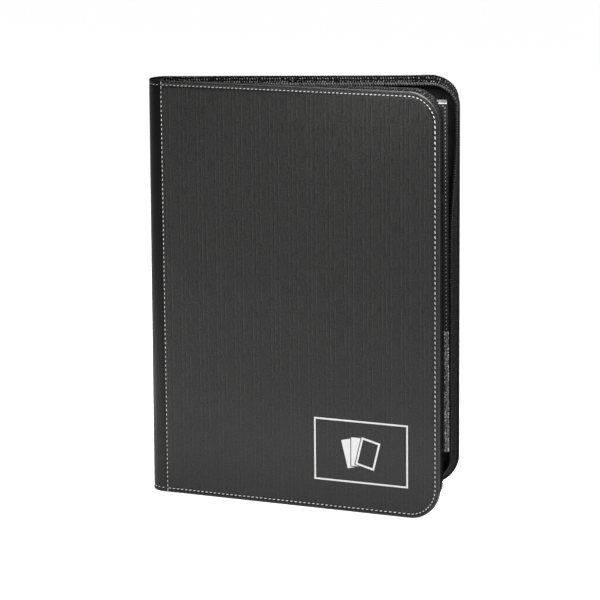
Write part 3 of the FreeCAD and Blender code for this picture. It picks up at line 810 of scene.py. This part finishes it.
def make_spine_half(side):
    """Half of the spine's skin, from its middle to under the edge of a cover's skin."""
    turned = SPINE_HALF - SEAM_TURN
    arc = np.concatenate([np.linspace(0, turned, 44),
                          turned + SEAM_TURN * np.array([0.35, 0.65, 0.85, 1.0])])
    drop = np.interp(arc, [turned, SPINE_HALF - 0.3 * SEAM_TURN, SPINE_HALF], [0, 0.25, 0.8])
    holes = np.cos(2 * math.pi * SPINE_RADIUS / STITCH_PITCH * arc)
    hem = [(1.0, 14), (1.0, 1.0), (0.85, 0.35), (0.55, 0.05), (0.25, 0.1), (0.06, 0.5),
           (0.0, 1.2), (0.02, 2.2), (0.12, 2.8), (HEM_GROOVE, STITCH_INSET), (0.12, 4.2),
           (0.03, 5.0), (0.0, 6.5), (0.0, 14)]
    profile = hem + [(offset, HEIGHT - up) for offset, up in hem[::-1]]
    flap = np.array([0.5, 1.2, 2.2, 3.2])
    length = np.concatenate([arc, SPINE_HALF + flap / SPINE_RADIUS]) * SPINE_RADIUS
    middle = HEIGHT / 2
    rows, places = [], []
    for offset, up in profile:
        pucker = HEM_PUCKER * holes if offset == HEM_GROOVE else 0
        skin = spine_point(-side.inward * arc, offset + drop + pucker, up)
        tucked = to_row(side, flap, 0.84 + 0.2 * min(offset, 1), middle + (up - middle) * 0.993)
        rows.append(np.concatenate([skin, tucked]))
        places.append(np.stack([length, offset + 0 * length, up + 0 * length], -1))
    count = len(length)
    ends = np.arange(len(profile)) * count
    build = Build()
    build.add(rows, places, [grid_faces(len(profile), count, close_rows=True),
                             ends[None], ends[None] + count - 1])
    name = "spine_leather_" + side.name
    nodes = ["spine_skin"] if side is FRONT else []
    piece(name, build.mesh(name, [SPINE_LEATHER]), "spine_leather", bend=spine_bend(side),
          nodes=nodes)


def make_spine_core():
    """The foam that keeps the spine round, in its cloth cover."""
    turns = np.linspace(-CORE_HALF, CORE_HALF, 31)
    ends = [(1.6, 2.2), (1.0, 1.4), (0.9, 0.6), (1.3, 0.15), (2.4, 0), (6, 0)]
    sections = ends + [(HEIGHT - up, shrink) for up, shrink in ends[::-1]]
    rows = []
    for up, shrink in sections:
        arc = spine_point(turns, CORE_OFFSET + shrink, up + 0.7 * np.sign(HEIGHT / 2 - up))
        flat = [[-0.75 - shrink * 0.5, y, arc[0, 2]] for y in np.linspace(13, -13, 9)]
        rows.append(np.concatenate([arc, flat]))
    build = Build()
    build.add(rows, rows, tube_faces(len(rows), len(rows[0])))
    made = piece("spine_foam", build.mesh("spine_foam", [SHADED_SPINE_CLOTH]), "foam", body="spine",
                 nodes=["spine_core"])


def make_spine_cloth():
    """The strip of cloth over the foam of the spine."""
    _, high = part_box("spine_lining")
    half = high.y / MM + 0.5
    ups = np.linspace(0.8, high.z / MM, 30)
    across = np.linspace(-half, half, 25)
    section = [(0.45 + 0.12 * math.cos(y / half * math.pi / 2), y) for y in across]
    section += [(-0.25, y) for y in across[::-1]]
    points = np.array([[[x, y, up] for x, y in section] for up in ups])
    build = Build()
    build.add(points, points, tube_faces(len(ups), len(section)))
    piece("spine_inner_cloth", build.mesh("spine_inner_cloth", [LINING], sharp=40),
          "lining_cloth", body="spine", nodes=["spine_lining"])


# ---------------------------------------------------------------- zip tapes and coils

TAPE_START = 11.0
BACK_TAPE_END = 2.0             # the back tape runs on at the top, as far as the spine
TAPE_INSET = 2.2
TAPE_HALF_THICK = 0.25
FLANGE_INSET, FLANGE_DEPTH = 8.8, 3.55
TAPE_FOOT, TAPE_BEND, COIL_DEPTH = 4.6, 12.3, 13.5
COIL_REACH, COIL_WIDTH = 3.0, 2.4
COIL_PITCH = 2.2
COIL_TOP_START, COIL_BOTTOM_START = 14.2, 16.5
CLOSED_LEAN, FRONT_TOP_LEAN, FRONT_FORE_LEAN = 5.6, -0.4, 1.0
RIB_PITCH = 2.1
RIB_HEIGHT = 0.25
SLACK_UP, SLACK_GROWS = 215.0, 90.0     # where the back tape begins to stand looser, going up
FORE_SLACK, TOP_SLACK = 4.7, 2.2
BELLY_DEPTH = 6.4
FOOT_LINES = [0, 3, 4.5, 5.5, 6.1]      # ways across a tape where its mesh has lines
WEB_LINES = np.linspace(6.7, 17.3, 30)
RIB_BANDS = [7.6, 10.4, 13.2, 16.0]     # ways across a tape where its bands of ribs begin or end
WIRE, CORE_CORD = 0.48, 0.62            # radii
COIL_STITCH_LENGTH, COIL_STITCH_RADIUS = 1.7, 0.2


def tape_lean(side, run):
    """How far in from its foot a tape's edge stands."""
    along, up, _, _ = edge(run)
    high = smooth((run - STRAIGHT - ARC - FORE) / ARC)
    if side is BACK:
        slack = FORE_SLACK * smooth((up - SLACK_UP) / SLACK_GROWS) * (1 - high)
        return CLOSED_LEAN - slack - TOP_SLACK * high * smooth(along / 60)
    low = smooth((run - STRAIGHT - 0.3 * ARC) / (0.7 * ARC + 7))
    lean = CLOSED_LEAN + (FRONT_FORE_LEAN - CLOSED_LEAN) * low
    lean += (FRONT_TOP_LEAN - FRONT_FORE_LEAN) * high
    return lean - TOP_SLACK * high * smooth((along - 110) / 80)


def tape_belly(side, run):
    """How far out a tape's web bulges, above the rim of its cover."""
    if side is FRONT:
        return 0 * run
    top = smooth((run - STRAIGHT - ARC - FORE + 6) / 24)
    corner = np.exp(-((run - STRAIGHT - 1.6 * ARC - FORE) / 22) ** 2)
    return 4.5 * top + 1.0 * corner


def softened(path, rounds=3):
    """A path with its corners cut off, several times over. Its points are on axis 1."""
    for _ in range(rounds):
        before, after = path[:, :-1], path[:, 1:]
        cut = np.stack([0.75 * before + 0.25 * after, 0.25 * before + 0.75 * after], 2)
        cut = cut.reshape(len(path), -1, path.shape[2])
        path = np.concatenate([path[:, :1], cut, path[:, -1:]], 1)
    return path


def make_tape(side):
    """A woven tape: sewn flange, foot and ribbed web, swept round a cover's free edges."""
    end = RUN - (BACK_TAPE_END if side is BACK else TAPE_START)
    runs = np.arange(TAPE_START, end, RIB_PITCH / 6)
    lean = tape_lean(side, runs)
    zero = 0 * lean
    corners = [(FLANGE_INSET + zero, FLANGE_DEPTH + zero), (TAPE_INSET + zero, FLANGE_DEPTH + zero),
               (TAPE_INSET + zero, TAPE_FOOT + zero),
               (TAPE_INSET + 0.25 * lean - tape_belly(side, runs), BELLY_DEPTH + zero),
               (TAPE_INSET + lean, TAPE_BEND + zero),
               (TAPE_INSET + lean, COIL_DEPTH + 0.2 + zero)]
    path = softened(np.stack([np.stack(pair, -1) for pair in corners], 1))
    steps = np.linalg.norm(np.diff(path, axis=1), axis=2)
    across = np.concatenate([zero[:, None], np.cumsum(steps, 1)], 1)
    wanted = np.concatenate([FOOT_LINES, WEB_LINES])
    share = wanted / wanted[-1]
    middle = np.stack([[np.interp(share * a[-1], a, p[:, j]) for j in (0, 1)]
                       for a, p in zip(across, path)]).transpose(0, 2, 1)
    ahead = np.gradient(middle, axis=1)
    normal = np.stack([-ahead[..., 1], ahead[..., 0]], -1)
    normal /= np.linalg.norm(normal, axis=2, keepdims=True)

    rib = np.zeros(middle.shape[:2])
    for number, (start, end) in enumerate(zip(RIB_BANDS, RIB_BANDS[1:])):
        inside = np.clip((wanted - start) / (end - start), 0, 1)
        slant = (0.5 if number % 2 else -0.5) * inside
        turn = 2 * math.pi * (runs[:, None] / RIB_PITCH + slant[None] + 0.5 * number)
        rib += (0.5 + 0.5 * np.cos(turn)) * np.sin(math.pi * inside)[None] ** 0.6
    along, up, in_along, in_up = edge(runs)
    rows, places = [], []
    for sign in (1, -1):
        lift = sign * (TAPE_HALF_THICK + RIB_HEIGHT * rib)
        shape = middle + normal * lift[..., None]
        inset, depth = shape[..., 0], shape[..., 1]
        rows.append(to_row(side, along[:, None] + inset * in_along[:, None], depth,
                           up[:, None] + inset * in_up[:, None]))
        places.append(np.stack([runs[:, None] + 0 * rib, wanted[None] + 0 * rib, rib], -1))
    points = np.concatenate([rows[0], rows[1][:, ::-1]], 1)
    places = np.concatenate([places[0], places[1][:, ::-1]], 1)
    build = Build()
    build.add(points, places, tube_faces(len(runs), points.shape[1]))
    name = side.name + "_tape"
    material = SHADED_FRONT_TAPE if side is FRONT else TAPE
    piece(name, build.mesh(name, [material]), "zip_tape", body=side.body,
          nodes=[side.name + "_zip_tape"])


def make_coil(side):
    """A row of zip coil: a flattened helix of nylon wire, on a core cord, sewn to the tape."""
    per_turn = 12
    start, end = COIL_BOTTOM_START, RUN - COIL_TOP_START
    turns = int((end - start) / COIL_PITCH)
    runs = np.linspace(start, end, turns * per_turn + 1)
    angle = 2 * math.pi * (runs - start) / COIL_PITCH
    runs = runs + 0.85 * COIL_PITCH / (2 * math.pi) * np.cos(angle)
    reach_in, reach_deep = COIL_WIDTH / 2 - WIRE, COIL_REACH / 2 - WIRE
    flat = lambda wave: np.sign(wave) * np.abs(wave) ** 0.7
    inset = TAPE_INSET + tape_lean(side, runs) + reach_in * flat(np.cos(angle))
    depth = COIL_DEPTH + COIL_REACH / 2 + reach_deep * flat(np.sin(angle))
    along, up, in_along, in_up = edge(runs)
    path = to_row(side, along + inset * in_along, depth, up + inset * in_up)
    build = Build()
    add_tube(build, path, WIRE, 6, runs)
    core = runs[::6]
    inset = TAPE_INSET + tape_lean(side, core)
    along, up, in_along, in_up = edge(core)
    path = to_row(side, along + inset * in_along, COIL_DEPTH + 1.2, up + inset * in_up)
    add_tube(build, path, CORE_CORD, 8, core, slot=1)

    middles = start + (np.arange(turns - 1) + 0.75) * COIL_PITCH
    _, _, in_along, in_up = edge(middles)
    ahead = direction(side, in_up, 0, -in_along)
    for way in (-1, 1):
        inset = TAPE_INSET + tape_lean(side, middles) + way * (COIL_WIDTH / 2 - 0.05)
        centres, _ = inset_points(side, middles, inset, COIL_DEPTH + 0.75)
        out = direction(side, way * in_along, 0, way * in_up)
        add_stitches(build, centres, ahead, out, COIL_STITCH_LENGTH, COIL_STITCH_RADIUS, slot=2,
                     dive=0.2, tilt=way * 14, rings=5, sides=5)
    name = side.name + "_coil"
    material = SHADED_FRONT_COIL if side is FRONT else COIL
    piece(name, build.mesh(name, [material, SHADED_FRONT_TAPE, COIL_THREAD]), "zip_coil", body=side.body,
          nodes=[side.name + "_zip_coil"])


def add_tube(build, path, radius, sides, runs, slot=0):
    """A round tube along a path of points, closed at its ends."""
    ahead = np.gradient(path, axis=0)
    ahead /= np.linalg.norm(ahead, axis=1, keepdims=True)
    first = np.cross(ahead, np.roll(ahead, 1, axis=0) * 0.2 + np.array([0.31, 0.93, 0.17]))
    first /= np.linalg.norm(first, axis=1, keepdims=True)
    for index in range(1, len(first)):
        carried = first[index - 1] - ahead[index] * (first[index - 1] @ ahead[index])
        first[index] = carried / np.linalg.norm(carried)
    second = np.cross(ahead, first)
    angle = np.linspace(0, 2 * math.pi, sides, endpoint=False)
    ring = radius * (np.cos(angle)[None, :, None] * first[:, None]
                     + np.sin(angle)[None, :, None] * second[:, None])
    points = path[:, None] + ring
    places = np.stack([runs[:, None] + 0 * angle, angle + 0 * runs[:, None],
                       0.8 + 0 * angle + 0 * runs[:, None]], -1)
    build.add(points, places, tube_faces(len(path), sides), slot)


def make_tab(node):
    """A short woven tab that joins the tapes' ends at the spine."""
    low, high = [np.array(corner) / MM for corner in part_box(node)]
    across = np.linspace(low[1], high[1], 33)
    ribs = 0.12 * np.cos(2 * math.pi * (across - low[1]) / 1.0)
    drop = 0.18 * smooth(1 - (np.minimum(across - low[1], high[1] - across)) / 0.6)
    lengths = np.linspace(low[0], high[0], 17)
    middle = (low[2] + high[2]) / 2
    half = (high[2] - low[2]) / 2 - 0.1
    section = [(y, middle + half + r - d) for y, r, d in zip(across, ribs, drop)]
    section += [(y, middle - half - r + d) for y, r, d in list(zip(across, ribs, drop))[::-1]]
    points = np.array([[[x, y, z] for y, z in section] for x in lengths])
    places = np.array([[[x, y, 0.5] for y, z in section] for x in lengths])
    build = Build()
    build.add(points, places, tube_faces(len(lengths), len(section)))
    centres = np.array([[x, y, middle + half + 0.1] for x in (high[0] - 1.4, low[0] + 1.4)
                        for y in np.arange(low[1] + 1.1, high[1] - 0.5, 1.9)])
    add_stitches(build, centres, (0, 1, 0), UP, 1.4, 0.16, slot=1, dive=0.12)
    piece(node + "_woven", build.mesh(node + "_woven", [TAPE, DARK_THREAD]), "zip_tape",
          body="spine", nodes=[node])


# ---------------------------------------------------------------- leaves

PAGE_STITCH_INSET, PAGE_STITCH_PITCH = 2.2, 3.2
PAGE_STITCH_LENGTH, PAGE_STITCH_RADIUS = 2.0, 0.2
PAGE_STITCH_DEPTH = 0.41        # from a leaf's middle
FILM_EDGE_RADIUS = 0.24
LEAF_FLARE = 2.0                # how much wider a leaf is at its foot than at its top
CRINKLE_HEIGHT, CRINKLE_WIDE = 104.0, 3.9
CRUSH = 0.16                    # how far each point of the crinkled film is pushed in or out
WELD_STEPS = np.array([0.5, 1.5, 3.5, 8])       # ways from a weld to the mesh lines beside it,
WELD_POCKET = (71, 96)                          # in a pocket of this size
LEAVES, LEAF_PITCH = 20, 1.3
BINDING_STITCH_PITCH = 5.2


def leaf_height(x, z):
    """Half thickness of a leaf: bound border, and three by three pillowed pockets."""
    across = np.abs(np.sin(math.pi * (x - POCKETS_START) / POCKET_WIDE))
    upright = np.abs(np.sin(math.pi * (z - PAGE_LOW - BORDER) / POCKET_TALL))
    pillow = np.minimum(1, 3.5 * across) * np.minimum(1, 5 * upright)
    border = np.maximum.reduce([smooth((x - (PAGE_END - FORE_BORDER)) / 0.4),
                                smooth((PAGE_LOW + BORDER - z) / 0.4),
                                smooth((z - (PAGE_HIGH - BORDER)) / 0.4)])
    rounded = smooth(np.minimum.reduce([PAGE_END - x, z - PAGE_LOW, PAGE_HIGH - z]) / 0.5)
    pocket = 0.17 + 0.23 * smooth(pillow)
    margin = smooth((x - POCKETS_START + 0.6) / 0.8)
    return (0.12 * (1 - margin) + margin * (pocket * (1 - border) + 0.4 * border)) \
        * (0.35 + 0.65 * rounded)


def flared(points):
    """Leaf points moved so that the leaf is a little wider at its foot."""
    points = np.array(points, float)
    points[:, 0] += (LEAF_FLARE * np.clip(1 - points[:, 2] / PAGE_HIGH, 0, 1) ** 0.7
                     * (points[:, 0] - PAGE_START) / (PAGE_END - PAGE_START))
    return points


def page_lines(first, start, size, full, border, last):
    """Places of a leaf's grid lines one way: its border, three pockets and its other border.

    They lie close together by the welds, where the film curves. full is the size of the pocket
    that WELD_STEPS are for.
    """
    weld = WELD_STEPS * size / full
    found = list(first)
    for number in range(3):
        low = start + number * size
        found += [*(low + weld), low + size / 2, *(low + size - weld[::-1]), low + size]
    return found + [last - border + 0.4, last - 0.6, last - 0.25, last]


def page_mesh():
    """One leaf: black sheet with a sewn border, and pockets of clear film on both faces."""
    foot = PAGE_LOW + BORDER
    left_lines = [PAGE_START, PAGE_START + 4, *(POCKETS_START + np.array([-1.2, -0.4, 0]))]
    foot_lines = [PAGE_LOW, PAGE_LOW + 0.25, PAGE_LOW + 0.6, foot - 0.3, foot]
    wide, tall = WELD_POCKET
    x, z = np.meshgrid(
        page_lines(left_lines, POCKETS_START, POCKET_WIDE, wide, FORE_BORDER, PAGE_END),
        page_lines(foot_lines, foot, POCKET_TALL, tall, BORDER, PAGE_HIGH))
    half = leaf_height(x, z)
    front, back, rim = slab_faces(*x.shape)
    centre_x, centre_z = x.ravel()[front].mean(1), z.ravel()[front].mean(1)
    film = ((centre_x > POCKETS_START) & (centre_x < PAGE_END - FORE_BORDER + 0.2)
            & (centre_z > foot) & (centre_z < PAGE_HIGH - BORDER + 0.2))
    points = np.concatenate([np.stack([x, -half, z], -1).reshape(-1, 3),
                             np.stack([x, half, z], -1).reshape(-1, 3)])
    build = Build()
    build.add(points, points, [front[~film], back[~film], rim])
    build.add_faces(np.concatenate([front[film], back[film]]), 1)

    low, high = PAGE_LOW + PAGE_STITCH_INSET, PAGE_HIGH - PAGE_STITCH_INSET
    left, right = POCKETS_START + 2, PAGE_END - PAGE_STITCH_INSET
    corners = np.array([[left, 0, low], [right, 0, low], [right, 0, high], [left, 0, high]])
    for start, end in zip(corners, corners[1:]):
        length = np.linalg.norm(end - start)
        number = int(length / PAGE_STITCH_PITCH)
        share = (np.arange(number) + 0.5)[:, None] / number
        for way in (-1, 1):
            out = np.array([0.0, way, 0.0])
            centres = start + (end - start) * share + out * PAGE_STITCH_DEPTH
            add_stitches(build, centres, (end - start) / length, out, PAGE_STITCH_LENGTH,
                         PAGE_STITCH_RADIUS, slot=2, dive=0.14, tilt=10 * way, rings=5, sides=4)
    ends = np.linspace(POCKETS_START + 1, PAGE_END - 0.8, 24)
    for way in (-1, 1):
        path = np.stack([ends, 0 * ends + way * 0.26, PAGE_HIGH - 0.3 + 0 * ends], -1)
        add_tube(build, path, FILM_EDGE_RADIUS, 6, ends, slot=3)
    build.points = [flared(part) for part in build.points]
    return build.mesh("page", [PAGE_SHEET, FILM, PAGE_THREAD, FILM_EDGE], sharp=50)


def make_pages():
    """The leaves, which share one mesh."""
    data = page_mesh()
    names = sorted(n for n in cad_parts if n.startswith("page_") and n[5:].isdigit())
    for name in names:
        low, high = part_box(name)
        piece(name + "_leaf", data, "page_film", body=name, nodes=[name],
              place=(0, (low.y + high.y) / 2, 0))
    make_crinkle(names[0])


def make_crinkle(name):
    """The crushed edge of film beside the lower pockets of a leaf."""
    low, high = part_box(name)
    middle = (low.y + high.y) / 2 / MM
    across = np.linspace(PAGE_END - CRINKLE_WIDE, PAGE_END - 0.25, 8)
    x, z = np.meshgrid(across, np.linspace(PAGE_LOW + 0.8, PAGE_LOW + CRINKLE_HEIGHT, 150))
    lift = 0.42 + 0.2 * np.sin((x - across[0]) / (across[-1] - across[0]) * math.pi)
    lift += rng.uniform(-CRUSH, CRUSH, x.shape)
    points = np.concatenate([np.stack([x, middle - lift, z], -1).reshape(-1, 3),
                             np.stack([x, middle - 0.2 + 0 * x, z], -1).reshape(-1, 3)])
    build = Build()
    build.add(flared(points), points, list(slab_faces(*x.shape)))
    piece(name + "_crinkle", build.mesh("crinkle", [CRINKLE], sharp=20), "page_film", body=name)


def make_block():
    """The sewn edges of the leaves: a ridge for each leaf, and rows of thread through them."""
    low, high = [np.array(corner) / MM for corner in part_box("page_binding_block")]
    across = np.linspace(low[1], high[1], LEAVES * 6 + 1)
    ridges = 0.28 * np.abs(np.sin(math.pi * across / LEAF_PITCH))
    ends = 1.2 * smooth(1 - (high[1] - np.abs(across)) / 1.4)
    section = [*zip(high[0] - 0.35 + ridges - ends, across), (low[0], high[1]), (low[0], low[1])]
    ups = np.concatenate([[low[2], low[2] + 0.4], np.linspace(low[2] + 6, high[2] - 6, 40),
                          [high[2] - 0.4, high[2]]])
    middle = (low[0] + high[0]) / 2
    rows = []
    for up in ups:
        shrink = 0.985 if up in (ups[0], ups[-1]) else 1.0
        rows.append([[middle + (x - middle) * shrink, y * shrink, up] for x, y in section])
    build = Build()
    build.add(rows, rows, tube_faces(len(ups), len(section)))
    piece("page_binding", build.mesh("page_binding", [PAGE_SHEET], sharp=50), "binding_block",
          body="spine", nodes=["page_binding_block"])
    build = Build()
    up = np.arange(low[2] + 4, high[2] - 3, BINDING_STITCH_PITCH)
    for way in (-1, 1):
        centres = np.stack([middle + 0 * up, way * (high[1] + 0.14) + 0 * up, up], -1)
        add_stitches(build, centres, UP, (0, way, 0), 4.2, 0.3, dive=0.25, tilt=5)
    piece("binding_stitches", build.mesh("binding_stitches", [DARK_THREAD]), "binding_thread",
          body="spine", nodes=["binding_thread"])


# ---------------------------------------------------------------- CAD nodes that stay

def finish_kept(node, material, soft_edges=0.0):
    """Gives a CAD node that stays its material, and rounds its edges by a number of millimetres."""
    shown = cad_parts[node]
    shown.data.materials.clear()
    shown.data.materials.append(material)
    if soft_edges:
        bevel = shown.modifiers.new("soft_edges", "BEVEL")
        bevel.width = soft_edges * MM
        bevel.segments = 3
        bevel.limit_method = "ANGLE"
        bevel.angle_limit = math.radians(40)


# ---------------------------------------------------------------- floor, light and camera

FLOOR_GLOW, WORLD_GLOW = 0.86, 0.15
FLOOR_REACH = 14.0
MIDDLE = (0.12, 0, 0.17)
# Each light's place, what it points at, its size (metres) and its power (watts). The three small
# ones stand close to the foot, the top and the spine.
LIGHTS = {"key": ((-0.5, -1.7, 1.6), MIDDLE, (1.0, 1.0), 7),
          "top": ((0.45, 0.6, 1.4), MIDDLE, (0.7, 0.5), 32),
          "low": ((0.067, -0.18, 0.01), (0.115, -0.06, 0.04), (0.28, 0.04), 0.052),
          "high": ((0.2, -0.16, 0.43), (0.14, -0.06, 0.34), (0.24, 0.04), 0.8),
          "left": ((-0.22, 0.05, 0.04), (0, -0.01, 0.04), (0.25, 0.12), 0.2)}
CAMERA_PLACE = (0.2385, -2.4301, 0.6336)
CAMERA_YAW, CAMERA_PITCH, CAMERA_ROLL = math.radians(-2.94), math.radians(10.96), math.radians(-0.5)
SENSOR, LENS = 36, 176.8


def make_floor():
    made = Nodes("floor", Roughness=0.9, Specular_IOR_Level=0.1, Emission_Color=(1, 1, 1, 1),
                 Emission_Strength=FLOOR_GLOW)
    made.colours(made.noise((0.01, 0.01, 0.01)), grey(0.86), grey(0.88))
    data = bpy.data.meshes.new("floor")
    corners = [(x * FLOOR_REACH, y * FLOOR_REACH, 0) for x, y in ((-1, -1), (1, -1), (1, 1), (-1, 1))]
    data.from_pydata(corners, [], [(0, 1, 2, 3)])
    data.materials.append(made.material)
    floor = bpy.data.objects.new("floor", data)
    floor.location.z = -0.02 * MM
    bpy.context.scene.collection.objects.link(floor)


def soft_light(name, place, target, size, power):
    lamp = bpy.data.lights.new(name, "AREA")
    lamp.shape = "RECTANGLE"
    lamp.size, lamp.size_y = size
    lamp.energy = power
    made = bpy.data.objects.new(name, lamp)
    made.location = place
    made.rotation_mode = "QUATERNION"
    made.rotation_quaternion = (Vector(target) - Vector(place)).to_track_quat("-Z", "Y")
    made.visible_camera = False
    bpy.context.scene.collection.objects.link(made)


def make_light():
    world = bpy.data.worlds.new("studio")
    world.use_nodes = True
    background = world.node_tree.nodes["Background"]
    background.inputs["Color"].default_value = (1, 1, 1, 1)
    background.inputs["Strength"].default_value = WORLD_GLOW
    bpy.context.scene.world = world
    for name, settings in LIGHTS.items():
        soft_light(name, *settings)
    bpy.context.scene.view_settings.view_transform = "Standard"
    bpy.context.scene.view_settings.look = "None"


def make_camera():
    data = bpy.data.cameras.new("camera")
    data.sensor_width = SENSOR
    data.lens = LENS
    data.clip_end = 60
    forward = Vector((math.sin(CAMERA_YAW) * math.cos(CAMERA_PITCH),
                      math.cos(CAMERA_YAW) * math.cos(CAMERA_PITCH), -math.sin(CAMERA_PITCH)))
    right = Vector((math.cos(CAMERA_YAW), -math.sin(CAMERA_YAW), 0))
    up = right.cross(forward)
    roll = Matrix.Rotation(CAMERA_ROLL, 4, "Z")
    axes = Matrix((right, up, -forward)).transposed().to_4x4()
    camera = bpy.data.objects.new("camera", data)
    camera.matrix_world = Matrix.Translation(CAMERA_PLACE) @ axes @ roll
    bpy.context.scene.collection.objects.link(camera)
    bpy.context.scene.camera = camera


# ---------------------------------------------------------------- build

for cover in (FRONT, BACK):
    make_leather(cover)
    make_foam(cover)
    make_lining(cover)
    stitch_edge(cover)
    stitch_seam(cover)
    make_spine_half(cover)
    make_tape(cover)
    make_coil(cover)
make_spine_core()
make_spine_cloth()
stitch_hems()
make_tab("zip_bottom_tab")
make_tab("zip_top_tab")
make_pages()
make_block()
for name in ("front_cover_board", "back_cover_board"):
    finish_kept(name, BOARD)
for name in ("zip_slider_body", "zip_pull_tab", "front_zip_stop", "back_zip_stop"):
    finish_kept(name, METAL, soft_edges=0.22)
finish_kept("front_emblem", INK)
make_floor()
make_light()
make_camera()
